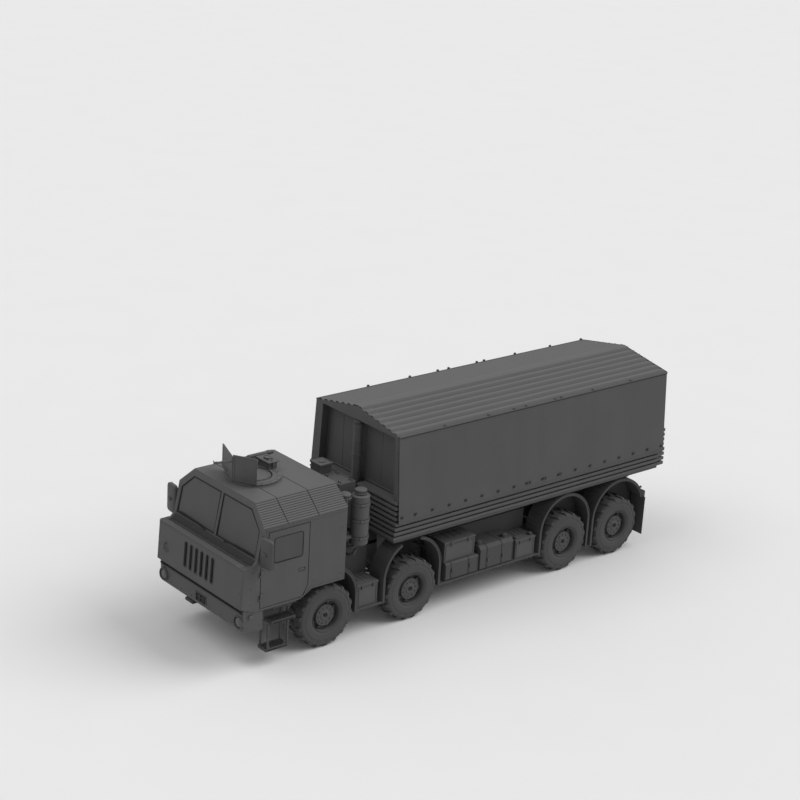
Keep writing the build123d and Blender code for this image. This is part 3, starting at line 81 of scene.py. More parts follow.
def add_node(tree, kind, sockets=None, **settings):
    """New shader node with its settings made and its inputs filled."""
    node = tree.nodes.new("ShaderNode" + kind)
    for key, value in settings.items():
        setattr(node, key, value)
    fill(tree, node, sockets or {})
    return node


def noise_value(tree, scale, detail=3.0, stretch=(1, 1, 1)):
    """Noise read in object coordinates, stretched along the axes."""
    where = add_node(tree, "TexCoord").outputs["Object"]
    mapping = add_node(tree, "Mapping", {"Scale": stretch, "Vector": where}).outputs["Vector"]
    sockets = {"Scale": scale, "Detail": detail, "Vector": mapping}
    return add_node(tree, "TexNoise", sockets).outputs["Fac"]


def ranged(tree, value, low, high, to_low=0.0, to_high=1.0):
    """Value moved from one range to another, and held inside it."""
    sockets = {
        "Value": value, "From Min": low, "From Max": high, "To Min": to_low, "To Max": to_high
    }
    return add_node(tree, "MapRange", sockets).outputs["Result"]


def combined(tree, operation, first, second, kind="Math"):
    """Two values put together by a maths node."""
    return add_node(tree, kind, {0: first, 1: second}, operation=operation).outputs["Value"]


def toned(tree, factor, dark, light):
    """Colour ramp between two colours over the middle of a factor's range."""
    ramp = add_node(tree, "ValToRGB", {"Fac": factor})
    for element, place, colour in zip(ramp.color_ramp.elements, (0.3, 0.7), (dark, light)):
        element.position = place
        element.color = (*colour, 1)
    return ramp.outputs["Color"]


def scaled(colour, factor):
    """Colour made lighter or darker."""
    return tuple(min(1.0, channel * factor) for channel in colour)


def varied(tree, factor, colour, spread):
    """Colour that drifts either way by a share of itself."""
    return toned(tree, factor, scaled(colour, 1 - spread), scaled(colour, 1 + spread))


def mixed(tree, factor, first, second):
    """Mix of a colour output with a second output or a colour."""
    if isinstance(second, tuple):
        second = (*second, 1)
    sockets = {"Factor": factor, "A": first, "B": second}
    return add_node(tree, "Mix", sockets, data_type="RGBA").outputs["Result"]


def bumped(tree, height, strength, distance, normal=None):
    """Bump node over an optional normal."""
    sockets = {"Strength": strength, "Distance": distance, "Height": height}
    if normal is not None:
        sockets["Normal"] = normal
    return add_node(tree, "Bump", sockets).outputs["Normal"]


def painted_top_light(tree, tone, lit_tone, steep=0.45, level=0.95):
    """Painted top light: a lighter tone on faces that look up, where the light falls on them."""
    facing = add_node(tree, "NewGeometry").outputs["Normal"]
    height = add_node(tree, "SeparateXYZ", {"Vector": facing}).outputs["Z"]
    return mixed(tree, ranged(tree, height, steep, level), tone, lit_tone)


PAINT_LOOK = dict(rough=0.62, edge=0.006, worn=1.35, grain=90, metallic=0.0, drift=0.08, dust=0.0)
TOP_LIGHT_GAIN = 1.35  # how much lighter the painted top light makes faces that look up


def paint(name, colour, **changes):
    """Matt coating with drifting tone, fine grain and worn edges."""
    look = {**PAINT_LOOK, **changes}
    material, tree, shader = new_material(name)
    slow = noise_value(tree, 1.7, 4.0)
    streak = noise_value(tree, 5.0, 5.0, (1, 1, 0.12))
    tone = varied(tree, slow, colour, look["drift"])
    tone = mixed(tree, 0.35, tone, varied(tree, streak, colour, 0.1))
    rounded = add_node(tree, "Bevel", {"Radius": look["edge"]}, samples=4).outputs["Normal"]
    flat = add_node(tree, "NewGeometry").outputs["Normal"]
    edges = ranged(tree, combined(tree, "DOT_PRODUCT", rounded, flat, "VectorMath"), 0.97, 0.80)
    chips = combined(tree, "MULTIPLY", edges, noise_value(tree, 14.0, 6.0))
    tone = mixed(tree, chips, tone, scaled(colour, look["worn"]))
    if look["dust"]:
        place = add_node(tree, "TexCoord").outputs["Object"]
        rise = add_node(tree, "SeparateXYZ", {"Vector": place}).outputs["Z"]
        low_dust = ranged(tree, rise, 1.3, 0.2, 0.0, look["dust"])
        tone = mixed(tree, low_dust, tone, scaled(colour, 1.5))
    grain = bumped(tree, noise_value(tree, look["grain"], 2.0), 0.12, 0.002, rounded)
    rough = look["rough"]
    # the base colour carries painted top light: faces that look up are lighter
    fill(tree, shader, {
        "Base Color": painted_top_light(tree, tone, scaled(colour, TOP_LIGHT_GAIN)),
        "Metallic": look["metallic"], "Specular IOR Level": 0.28, "Normal": grain,
        "Roughness": ranged(tree, slow, 0.0, 1.0, rough - 0.06, rough + 0.08),
    })
    return material


# %% [markdown]
# Paint, castings, rubber and trim all come from the one recipe. What changes is the tone,
# the grain, the roughness and how far edges have worn light.

# %% One material for each finish
GREY = (0.075, 0.075, 0.075)
body_paint = paint("body_paint", GREY)
roof_paint = paint("roof_paint", scaled(GREY, 1.05), grain=60)
# lighter copy of the paint: painted highlight for the lit top of the ledge
ledge_painted_highlight = paint("ledge_painted_highlight", scaled(GREY, 1.25), grain=60)
chassis_paint = paint("chassis_paint", scaled(GREY, 0.75), rough=0.7, dust=0.25)
wheel_paint = paint("wheel_paint", scaled(GREY, 0.85), rough=0.6, dust=0.2)
casting = paint("casting", scaled(GREY, 0.7), rough=0.75, grain=40, drift=0.14, dust=0.2)
trim = paint("trim", scaled(GREY, 0.8), rough=0.5, worn=1.2)
rubber = paint("rubber", scaled(GREY, 0.72), rough=0.85, worn=1.1, dust=0.3)
tyre_rubber = paint(
    "tyre_rubber", scaled(GREY, 0.78), rough=0.88, edge=0.004, worn=1.12, grain=140, dust=0.35
)
steel = paint("steel", (0.30, 0.30, 0.31), rough=0.32, worn=1.1, metallic=1.0, grain=30)
seat_cloth = paint("seat_cloth", scaled(GREY, 0.8), rough=0.95, worn=1.05, grain=260)
dark = paint("dark", scaled(GREY, 0.3), rough=0.9, worn=1.0)
# dark tone for real seals and seams, also used as painted shade in holes, gaps and lines under
# overhangs
seal_and_painted_shade = paint("seal_and_painted_shade", scaled(GREY, 0.22), rough=0.8, worn=1.2, grain=200)

# %% [markdown]
# Glass under soft light is nearly as dark and matt as the paint, so it gets a
# dark tint over a low roughness. The canvas has a two-way weave in its bump.

# %% Glass, lenses and canvas
def glazing(name, colour, rough, alpha):
    """Tinted glass with faint smears in its roughness."""
    material, tree, shader = new_material(name)
    smear = noise_value(tree, 3.0, 4.0, (1, 1, 0.4))
    fill(tree, shader, {
        "Base Color": varied(tree, smear, colour, 0.1),
        "Roughness": ranged(tree, smear, 0.0, 1.0, rough * 0.7, rough * 1.4),
        "Alpha": alpha, "Specular IOR Level": 0.35,
    })
    return material


CANVAS_TOP_LIGHT_GAIN = 1.55
CANVAS_TOP_LIGHT_SLOPES = (0.76, 0.995)  # painted top light starts and is full at these upward shares
THREADS = 60


def canvas_material(name, colour):
    """Heavy proofed canvas: plain weave, faint streaks and dull sheen."""
    material, tree, shader = new_material(name)
    streak = noise_value(tree, 2.5, 4.0, (1, 1, 0.15))
    tone = varied(tree, noise_value(tree, 1.2, 5.0), colour, 0.07)
    tone = mixed(tree, 0.4, tone, varied(tree, streak, colour, 0.08))
    place = add_node(tree, "TexCoord").outputs["Object"]
    sockets = {"Scale": THREADS, "Distortion": 0.6, "Vector": place}
    warp, weft = (
        add_node(tree, "TexWave", sockets, bands_direction=way).outputs["Fac"] for way in "YZ"
    )
    normal = bumped(tree, combined(tree, "MULTIPLY", warp, weft), 0.15, 0.001)
    # the base colour carries painted top light on cloth that faces up
    fill(tree, shader, {
        "Base Color": painted_top_light(tree, tone, scaled(colour, CANVAS_TOP_LIGHT_GAIN), *CANVAS_TOP_LIGHT_SLOPES),
        "Roughness": 0.86, "Specular IOR Level": 0.22, "Sheen Weight": 0.06,
        "Normal": bumped(tree, noise_value(tree, 9.0, 4.0), 0.10, 0.01, normal),
    })
    return material


glass = glazing("glass", scaled(GREY, 0.75), 0.35, 0.93)
lens = glazing("lens", (0.085, 0.085, 0.085), 0.25, 1.0)
mirror_glass = glazing("mirror_glass", (0.10, 0.10, 0.105), 0.12, 1.0)
canvas = canvas_material("canvas", scaled(GREY, 1.02))

# %% [markdown]
# ## Dress the solids that stay
# Most solids keep their own shape and only take a material, chosen by the start of
# their name. The longest match wins.

# %% Assign materials by node name
BY_NAME = {
    "": body_paint, "chassis_frame": chassis_paint, "tipper_subframe": chassis_paint,
    "axles": casting, "knuckle": casting, "engine_block": casting, "driveline": casting,
    "leaf_springs": casting, "tyre": tyre_rubber, "rim": wheel_paint, "cab_roof": roof_paint,
    "windscreen": glass, "door_glass": glass, "lamps": lens, "mirrors": trim,
    "seats": seat_cloth, "dashboard": trim, "mudguards": rubber, "mudflaps": rubber,
    "hoist_stage": steel, "tarpaulin": canvas, "cab_steps": chassis_paint,
    "side_frames": chassis_paint,
    "cab_floor": trim, "roof_shield": roof_paint, "hatch_lid": roof_paint, "tanks": chassis_paint,
}
for node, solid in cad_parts.items():
    start = max((key for key in BY_NAME if node.startswith(key)), key=len)
    solid.data.materials.clear()
    solid.data.materials.append(BY_NAME[start])
print("dressed", len(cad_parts), "solids")

# %% [markdown]
# ## Drawing tools
# `Kit` gathers simple shapes into one mesh, so that all the small pieces of one finish
# on one body become one object. Each method adds one kind of shape; boxes, plates and
# discs can have their edges rounded, and strips have soft shoulders.


# %% Shape kit
def turned(direction):
    """Rotation that takes +Z to a direction."""
    return Vector(direction).normalized().to_track_quat("Z", "Y").to_matrix().to_4x4()


def mesh_from(bm, name, sharp=None):
    """Plain mesh of a bmesh; sharp is the angle in degrees up to which it looks smooth."""
    mesh = bpy.data.meshes.new(name)
    bm.to_mesh(mesh)
    bm.free()
    if sharp:
        mesh.shade_smooth()
        mesh.set_sharp_from_angle(angle=radians(sharp))
    return mesh


def placed(name, data):
    """Object in the scene for a mesh, a lamp or a camera."""
    made = bpy.data.objects.new(name, data)
    bpy.context.scene.collection.objects.link(made)
    return made


class Kit:
    """Shapes that share one body and one finish."""

    def __init__(self):
        self.bm = bmesh.new()

    def add_box(self, low, high, bevel=0.004, turn=None, sharp=False):
        """Box between two corners, with rounded edges, optionally turned about its middle."""
        low, high = Vector(low), Vector(high)
        size = high - low
        turn = turn or Matrix.Identity(4)
        place = Matrix.Translation((low + high) / 2) @ turn @ Matrix.Diagonal((*size, 1))
        made = bmesh.ops.create_cube(self.bm, size=1.0, matrix=place)
        if bevel and not sharp:
            edges = {edge for vert in made["verts"] for edge in vert.link_edges}
            bmesh.ops.bevel(
                self.bm, geom=list(edges), offset=min(bevel, min(size) * 0.4), segments=2,
                affect="EDGES", profile=0.6
            )

    def add_lathe(self, centre, axis, profile, sides=32):
        """Turned shape: profile lists radius and height along the axis."""
        place = Matrix.Translation(Vector(centre)) @ turned(axis)
        rings = []
        for radius, height in profile:
            ring = []
            if radius < 1e-6:
                ring = [self.bm.verts.new(place @ Vector((0, 0, height)))]
            else:
                for k in range(sides):
                    angle = 2 * pi * k / sides
                    ring.append(
                        self.bm.verts.new(
                            place @ Vector((radius * cos(angle), radius * sin(angle), height))
                        )
                    )
            rings.append(ring)
        for lower, upper in zip(rings, rings[1:]):
            for k in range(sides):
                a, b = lower[k % len(lower)], lower[(k + 1) % len(lower)]
                c, d = upper[(k + 1) % len(upper)], upper[k % len(upper)]
                face = [v for n, v in enumerate((a, b, c, d)) if v not in (a, b, c, d)[:n]]
                if len(face) > 2:
                    self.bm.faces.new(face)

    def add_disc(self, centre, axis, radius, thick, sides=24, bevel=0.003):
        """Short round post standing on its centre, with a rounded rim."""
        bevel = min(bevel, thick * 0.4, radius * 0.4)
        self.add_lathe(
            centre, axis,
            [(0, 0), (radius, 0), (radius, thick - bevel), (radius - bevel, thick), (0, thick)],
            sides
        )

    def add_rod(self, start, end, radius, sides=12):
        """Round bar between two points."""
        span = Vector(end) - Vector(start)
        self.add_lathe(
            start, span, [(0, 0), (radius, 0), (radius, span.length), (0, span.length)], sides
        )

    def add_pipe(self, points, radius, sides=10):
        """Round bar bent through points, with mitred corners."""
        points = [Vector(p) for p in points]
        rings = []
        for n, point in enumerate(points):
            before = (point - points[n - 1]).normalized() if n else None
            after = (points[n + 1] - point).normalized() if n + 1 < len(points) else None
            along = ((before or after) + (after or before)).normalized()
            if n == 0:
                cross = turned(along).to_3x3()
                across, up = cross.col[0], cross.col[1]
            else:
                across = (across - along * across.dot(along)).normalized()
                up = along.cross(across)
            grow = 1 / max(0.5, along.dot(before)) if before and after else 1
            rings.append(
                [
                    self.bm.verts.new(
                        point
                        + (
                            across * cos(2 * pi * k / sides) + up * sin(2 * pi * k / sides)
                        ) * radius * grow
                    )
                    for k in range(sides)
                ]
            )
        for lower, upper in zip(rings, rings[1:]):
            for k in range(sides):
                self.bm.faces.new(
                    (lower[k], lower[(k + 1) % sides], upper[(k + 1) % sides], upper[k])
                )
        self.bm.faces.new(list(reversed(rings[0])))
        self.bm.faces.new(rings[-1])

    def add_plate(self, outline, lift, bevel=0.003):
        """Flat plate: outline points in space, raised along the lift vector."""
        lower = [self.bm.verts.new(Vector(p)) for p in outline]
        upper = [self.bm.verts.new(Vector(p) + Vector(lift)) for p in outline]
        faces = [self.bm.faces.new(list(reversed(lower))), self.bm.faces.new(upper)]
        count = len(outline)
        for k in range(count):
            faces.append(
                self.bm.faces.new(
                    (lower[k], lower[(k + 1) % count], upper[(k + 1) % count], upper[k])
                )
            )
        if bevel:
            edges = {edge for face in faces for edge in face.edges}
            bmesh.ops.bevel(self.bm, geom=list(edges), offset=bevel, segments=1, affect="EDGES")

    def add_trim(self, points, normal, width, height, closed=True):
        """Low strip along an outline on a surface, with mitred corners and soft shoulders."""
        points = [Vector(p) for p in points]
        normal = Vector(normal).normalized()
        count = len(points)
        rings = []
        for n, point in enumerate(points):
            before = (point - points[n - 1]).normalized() if closed or n else None
            after = (
                points[(n + 1) % count] - point
            ).normalized() if closed or n + 1 < count else None
            along = ((before or after) + (after or before)).normalized()
            grow = 1 / max(0.5, along.dot(before)) if before and after else 1
            reach = normal.cross(along) * (width / 2 * grow)
            rings.append([self.bm.verts.new(q) for q in (
                point - reach, point - reach * 0.75 + normal * height,
                point + reach * 0.75 + normal * height, point + reach)])
        for lower, upper in zip(rings, rings[1:] + rings[:1] if closed else rings[1:]):
            for k in range(4):
                self.bm.faces.new((lower[k], lower[(k + 1) % 4], upper[(k + 1) % 4], upper[k]))
        if not closed:
            self.bm.faces.new(list(reversed(rings[0])))
            self.bm.faces.new(rings[-1])

    def add_bolts(self, places, axis, radius=0.012, height=0.009):
        """Six-sided bolt heads on washers."""
        for place in places:
            self.add_lathe(
                place, axis,
                [
                    (0, -0.002), (radius * 1.35, -0.002), (radius * 1.35, height * 0.25),
                    (radius, height * 0.3), (radius, height * 0.85), (radius * 0.8, height),
                    (0, height)
                ],
                6
            )

    def finish(self, name, body, slot, material, sharp=38):
        """Turn the gathered shapes into one object that rides on a body."""
        bmesh.ops.recalc_face_normals(self.bm, faces=self.bm.faces)
        return adopt(name, mesh_from(self.bm, name, sharp), body, material)


def rounded_outline(middle, across, upward, wide, tall, radius, steps=5):
    """Corner points of a rounded rectangle in space, one direction round."""
    middle = Vector(middle)
    across, upward = Vector(across).normalized(), Vector(upward).normalized()
    points = []
    for quarter, (a, b) in enumerate(((1, 1), (-1, 1), (-1, -1), (1, -1))):
        for k in range(steps + 1):
            angle = pi / 2 * (quarter + k / steps)
            side = a * (wide / 2 - radius) + radius * cos(angle)
            rise = b * (tall / 2 - radius) + radius * sin(angle)
            points.append(middle + across * side + upward * rise)
    return points


def adopt(name, mesh, body, material):
    """Object for a finished mesh: it rides on its body."""
    piece = placed(name, mesh)
    mesh.materials.clear()
    mesh.materials.append(material)
    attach(piece, body)
    return piece


print("kit ready")

# %% [markdown]
# ## Repeats with Geometry Nodes
# Two node groups do the repeating: `ring` turns copies of a source about X, and `row`
# steps copies along a vector. Both end in Realize Instances and Set Material, and the
# result is baked to a plain mesh.


# %% The ring and row node groups
def socket(group, label, kind, default=None):
    """Named input on a node group."""
    made = group.interface.new_socket(name=label, in_out="INPUT", socket_type=kind)
    if default is not None:
        made.default_value = default
    return made


def repeat_group(name, ring):
    """Group that repeats a source object round X or along a step."""
    group = bpy.data.node_groups.new(name, "GeometryNodeTree")
    group.interface.new_socket(name="Geometry", in_out="OUTPUT", socket_type="NodeSocketGeometry")
    socket(group, "Source", "NodeSocketObject")
    socket(group, "Count", "NodeSocketInt", 2)
    socket(group, "Step", "NodeSocketFloat" if ring else "NodeSocketVector")
    socket(group, "Start", "NodeSocketFloat" if ring else "NodeSocketVector")
    socket(group, "Material", "NodeSocketMaterial")
    nodes, links = group.nodes, group.links
    given = nodes.new("NodeGroupInput")
    result = nodes.new("NodeGroupOutput")
    points = nodes.new("GeometryNodePoints")
    source = nodes.new("GeometryNodeObjectInfo")
    index = nodes.new("GeometryNodeInputIndex")
    copies = nodes.new("GeometryNodeInstanceOnPoints")
    real = nodes.new("GeometryNodeRealizeInstances")
    dress = nodes.new("GeometryNodeSetMaterial")
    links.new(given.outputs["Count"], points.inputs["Count"])
    links.new(given.outputs["Source"], source.inputs["Object"])
    links.new(source.outputs["Geometry"], copies.inputs["Instance"])
    links.new(points.outputs["Points"], copies.inputs["Points"])
    if ring:
        angle = nodes.new("ShaderNodeMath")
        angle.operation = "MULTIPLY_ADD"
        links.new(index.outputs["Index"], angle.inputs[0])
        links.new(given.outputs["Step"], angle.inputs[1])
        links.new(given.outputs["Start"], angle.inputs[2])
        turn = nodes.new("ShaderNodeCombineXYZ")
        links.new(angle.outputs["Value"], turn.inputs["X"])
        links.new(turn.outputs["Vector"], copies.inputs["Rotation"])
    else:
        place = nodes.new("ShaderNodeVectorMath")
        place.operation = "MULTIPLY_ADD"
        links.new(index.outputs["Index"], place.inputs[0])
        links.new(given.outputs["Step"], place.inputs[1])
        links.new(given.outputs["Start"], place.inputs[2])
        links.new(place.outputs["Vector"], points.inputs["Position"])
    links.new(copies.outputs["Instances"], real.inputs["Geometry"])
    links.new(real.outputs["Geometry"], dress.inputs["Geometry"])
    links.new(given.outputs["Material"], dress.inputs["Material"])
    links.new(dress.outputs["Geometry"], result.inputs["Geometry"])
    return group


GROUPS = {"ring": repeat_group("repeat_ring", True), "row": repeat_group("repeat_row", False)}


def repeated(kit, runs, material):
    bmesh.ops.recalc_face_normals(kit.bm, faces=kit.bm.faces)
    source = placed("source", mesh_from(kit.bm, "source"))
    total = bmesh.new()
    for kind, count, step, start in runs:
        carrier = placed("carrier", bpy.data.meshes.new("carrier"))
        modifier = carrier.modifiers.new("repeat", "NODES")
        modifier.node_group = GROUPS[kind]
        values = {
            "Source": source, "Count": count, "Step": step, "Start": start, "Material": material
        }
        for item in GROUPS[kind].interface.items_tree:
            if item.item_type == "SOCKET" and item.in_out == "INPUT":
                modifier[item.identifier] = values[item.name]
        graph = bpy.context.evaluated_depsgraph_get()
        baked = bpy.data.meshes.new_from_object(carrier.evaluated_get(graph))
        total.from_mesh(baked)
        bpy.data.objects.remove(carrier)
    bpy.data.objects.remove(source)
    return mesh_from(total, "repeated", 38)


print("groups", list(GROUPS))

# %% [markdown]
# ## Tyres
# The carcass is turned from one profile. Its lugs are one block repeated round the
# wheel by the `ring` group, once for each shoulder, half a pitch apart.

# %% Tyres with staggered chevron lugs
LUGS = 18
PITCH = 2 * pi / LUGS
CARCASS = [
    (0.303, -0.150), (0.312, -0.176), (0.345, -0.190), (0.352, -0.196), (0.400, -0.1995),
    (0.455, -0.1995),
    (0.462, -0.195), (0.505, -0.192), (0.512, -0.196), (0.530, -0.194), (0.556, -0.176),
    (0.570, -0.140), (0.574, -0.060),
]


def lug_block(kit, sign):
    """One chevron lug with a shoulder that runs down the sidewall."""
    # angle share of the pitch, distance from the middle plane, radius
    inner, outer, skew = 0.012, 0.158, 0.20
    rows = [
        (inner, -0.17, 0.30, 0.570, 0.598),
        (0.085, -0.17 + skew * 0.5, 0.34, 0.570, 0.599),
        (outer, -0.17 + skew, 0.36, 0.560, 0.597),
        (0.182, -0.15 + skew, 0.34, 0.535, 0.566),
        (0.1985, -0.13 + skew, 0.30, 0.500, 0.524),
    ]
    rings = []
    for x, start, width, low, high in rows:
        corner = []
        for share, radius in (
            (start, low), (start, high), (start + width, high), (start + width, low)
        ):
            angle = share * PITCH
            corner.append(kit.bm.verts.new((sign * x, radius * sin(angle), radius * cos(angle))))
        rings.append(corner)
    for lower, upper in zip(rings, rings[1:]):
        for k in range(4):
            kit.bm.faces.new((lower[k], lower[(k + 1) % 4], upper[(k + 1) % 4], upper[k]))
    kit.bm.faces.new(rings[0])
    kit.bm.faces.new(rings[-1])


def tyre_mesh(outboard):
    """Carcass and lugs of one tyre about the origin; outboard is the side that shows."""
    kit = Kit()
    profile = CARCASS + [(r, -x) for r, x in reversed(CARCASS)]
    kit.add_lathe((0, 0, 0), (1, 0, 0), profile, 96)
    for side_sign in (1, -1):
        lug = Kit()
        lug_block(lug, side_sign)
        turn = 0.0 if side_sign == outboard else PITCH / 2
        lugs = repeated(lug, [("ring", LUGS, PITCH, turn)], tyre_rubber)
        kit.bm.from_mesh(lugs)
    bmesh.ops.recalc_face_normals(kit.bm, faces=kit.bm.faces)
    return mesh_from(kit.bm, "tyre", 30)


WHEEL_X, WHEEL_RADIUS = 1.004, 0.600


def on_wheel(shared, sign, y, turn):
    """Copy of a shared mesh put on an axle line and turned by some degrees."""
    own = shared.copy()
    spun = Matrix.Rotation(radians(turn), 4, "X")
    own.transform(Matrix.Translation((sign * WHEEL_X, y, WHEEL_RADIUS)) @ spun)
    return own


for hand, sign in SIDES:
    shared = tyre_mesh(sign)
    for n, y in enumerate((A1, A2, A3, A4), 1):
        own = on_wheel(shared, sign, y, 7.0 * n)
        tyre = adopt(f"tyre_dress_{n}_{hand}", own, f"wheel_{n}_{hand}", tyre_rubber)
        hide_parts(f"tyre_{n}_{hand}")
print("tyres with", LUGS * 2, "lugs each")

# %% [markdown]
# ## Rims
# A turned rim and dish, with wheel nuts and hand holes repeated by the same `ring`.

# %% Rims, nuts and hub caps
RIM = [
    (0.286, -0.163), (0.302, -0.163), (0.302, -0.150), (0.288, -0.140), (0.284, 0.060),
    (0.292, 0.150), (0.3025, 0.158), (0.3025, 0.176),
    (0.299, 0.180), (0.293, 0.178), (0.290, 0.172), (0.287, 0.140), (0.285, 0.060), (0.272, 0.048),
    (0.240, 0.050), (0.222, 0.056), (0.212, 0.068),
    (0.205, 0.100), (0.203, 0.134), (0.197, 0.141), (0.186, 0.141), (0.182, 0.136), (0.100, 0.136),
    (0.095, 0.141), (0.074, 0.149), (0.058, 0.149),
    (0.051, 0.145), (0.047, 0.135), (0.046, 0.112), (0.020, 0.110), (0.0, 0.110),
]
NUTS = 10
HAND_HOLES = 8


def rim_mesh(sign):
    """Rim, nuts and hub about the origin, facing the sign of X."""
    kit = Kit()
    kit.add_lathe((0, 0, 0), (1, 0, 0), RIM, 64)
    kit.add_lathe(
        (0, 0, 0), (1, 0, 0),
        [(0.270, -0.150), (0.262, 0.030), (0.100, 0.030), (0.100, -0.02), (0.05, -0.02)], 48
    )
    nut = Kit()
    nut.add_lathe(
        (0.134, 0, 0.148), (1, 0, 0),
        [(0.021, 0), (0.021, 0.005), (0.016, 0.006), (0.016, 0.020), (0.012, 0.024), (0, 0.024)], 6
    )
    kit.bm.from_mesh(repeated(nut, [("ring", NUTS, 2 * pi / NUTS, 0.1)], wheel_paint))
    pad = Kit()
    pad.add_box((0.048, -0.030, 0.214), (0.100, 0.030, 0.262), 0.008)
    kit.bm.from_mesh(repeated(pad, [("ring", HAND_HOLES, 2 * pi / HAND_HOLES, 0.2)], wheel_paint))
    if sign < 0:
        bmesh.ops.scale(kit.bm, vec=(-1, 1, 1), verts=kit.bm.verts)
    bmesh.ops.recalc_face_normals(kit.bm, faces=kit.bm.faces)
    return mesh_from(kit.bm, "rim", 32)


for hand, sign in SIDES:
    shared = rim_mesh(sign)
    for n, y in enumerate((A1, A2, A3, A4), 1):
        own = on_wheel(shared, sign, y, 11.0 * n)
        rim = adopt(f"rim_dress_{n}_{hand}", own, f"wheel_{n}_{hand}", wheel_paint)
        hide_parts(f"rim_{n}_{hand}")
print("rims with", NUTS, "nuts each")

# %% [markdown]
# ## Tarpaulin
# One sheet runs from the left hem over the ridge to the right hem and folds down at the
# rear gable. Its cross-section follows the hoops: flat walls, then a roof with shallow
# channels between lengthwise battens. It sags a little between hoops.

# %% The canvas sheet
FOOT, EAVE, RIDGE = (1.318, 2.061), (1.201, 3.706), 3.930
TARP_Y = (A1 + 1.447, A1 + 8.400)
BATTENS = 7
HOOP_Y = [A1 + 2.58 + n * 1.37 for n in range(5)]
WALL_STEPS, LENGTH_STEPS, GABLE_STEPS = 22, 150, 14
# one band between battens: share of its width from the eave, and lift of the sheet
BAND = ((0.0, -0.9), (0.05, -1.0), (0.40, 0.85), (0.47, 1.0), (0.53, 0.9))
BAND_RISE, BAND_DROP = 0.013, 0.018
FIRST_BAND, BANDS_SPAN = 0.022, 0.973  # shares of the slope
WALL_SAG, ROOF_SAG = 0.004, 0.003
GABLE_FOOT = 2.575


def roof_profile():
    """Half section from the hem to the ridge: x, z and lift of the sheet over the hoops."""
    points = [
        (
            FOOT[0] + (EAVE[0] - FOOT[0]) * k / WALL_STEPS,
            FOOT[1] + (EAVE[1] - FOOT[1]) * k / WALL_STEPS, 0.0
        )
        for k in range(WALL_STEPS)
    ]
    points += [(EAVE[0], EAVE[1], 0.0), (EAVE[0] * 0.990, EAVE[1] + 0.010, 0.0)]
    for bay in range(BATTENS):
        for share, lift in BAND:
            t = FIRST_BAND + BANDS_SPAN * (bay + share) / BATTENS
            height = EAVE[1] + (RIDGE - EAVE[1]) * t
            if bay or share:
                points.append((EAVE[0] * (1 - t), height, lift))
            else:
                points += [(EAVE[0] * (1 - t), height, 0.0), (EAVE[0] * (0.995 - t), height, -0.8)]
    points.append((0.0, RIDGE, 0.3))
    return points


def sag(x, y, z, lift):
    """How far the cloth hangs below its taut line at a point; battens hold it up."""
    inside = min(abs(y - line) for line in HOOP_Y + [TARP_Y[0], TARP_Y[1]]) / 0.7
    wander = noise.noise(Vector((x * 1.3, y * 1.1, z * 1.7)))
    if z < EAVE[1] - 0.02:
        height = (z - FOOT[1]) / (EAVE[1] - FOOT[1])
        return WALL_SAG * (1 + wander) * min(1.0, inside) * sin(pi * max(0.0, min(1.0, height)))
    return 0.001 - lift * (
        BAND_RISE if lift > 0 else BAND_DROP
    ) + ROOF_SAG * min(1.0, inside) * (0.5 + wander)


half = roof_profile()
section = [(-x, z, d, -1) for x, z, d in half] + [(x, z, d, 1) for x, z, d in reversed(half[:-1])]
bm = bmesh.new()
rows = []
for step in range(LENGTH_STEPS + 1):
    y = TARP_Y[0] + 0.004 + (TARP_Y[1] - TARP_Y[0] - 0.006) * step / LENGTH_STEPS
    row = []
    for x, z, dip, way in section:
        drop = sag(x, y, z, dip)
        if z < EAVE[1] - 0.02:
            row.append(bm.verts.new((x - way * (drop + 0.003), y, z)))
        else:
            row.append(bm.verts.new((x, y, z - drop - 0.002)))
    rows.append(row)
for near, far in zip(rows, rows[1:]):
    for k in range(len(section) - 1):
        bm.faces.new((near[k], near[k + 1], far[k + 1], far[k]))
# rear gable: columns hang from the last row of the roof and the upper walls
last = rows[-1]
columns = [vert for vert in last if vert.co.z > GABLE_FOOT]
hanging = []
for vert in columns:
    column = [vert]
    for k in range(1, GABLE_STEPS + 1):
        z = vert.co.z + (GABLE_FOOT - vert.co.z) * k / GABLE_STEPS
        ripple = 0.003 * noise.noise(Vector((vert.co.x * 2, 4.0, z * 1.5)))
        column.append(
            bm.verts.new((vert.co.x * (1 + 0.0001 * k), last[0].co.y - 0.001 + ripple - 0.002, z))
        )
    hanging.append(column)
for one, two in zip(hanging, hanging[1:]):
    for k in range(GABLE_STEPS):
        bm.faces.new((one[k], one[k + 1], two[k + 1], two[k]))
bmesh.ops.recalc_face_normals(bm, faces=bm.faces)
flat_area = sum(face.calc_area() for face in bm.faces)
tarp = adopt("tarp_sheet", mesh_from(bm, "tarp_sheet", 28), "bed", canvas)
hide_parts("tarpaulin")
wall = hypot(FOOT[0] - EAVE[0], EAVE[1] - FOOT[1])
print("sheet area", round(flat_area, 2))

# %% [markdown]
# Along the hem stand round eyelets, and along each eave small strap fittings. The
# eyelets come from `row`; the fittings stand at uneven places, as on the real cover.

# %% Hem eyelets, hem rope and eave fittings
EYELET_Y = (A1 + 1.835, 0.4055, 17)
EXTRA_Y = (1.522, 4.598, 5.012, 5.432)
EAVE_LEFT = (2.524, 3.587, 4.224, 4.535, 5.291, 5.450, 6.300, 7.347)
EAVE_RIGHT = (2.668, 3.701, 4.413, 4.696, 5.439, 5.634, 6.476, 7.465, 8.360)


def wall_x(z):
    """Half width of the cover at height z."""
    return FOOT[0] + (EAVE[0] - FOOT[0]) * (z - FOOT[1]) / (EAVE[1] - FOOT[1])


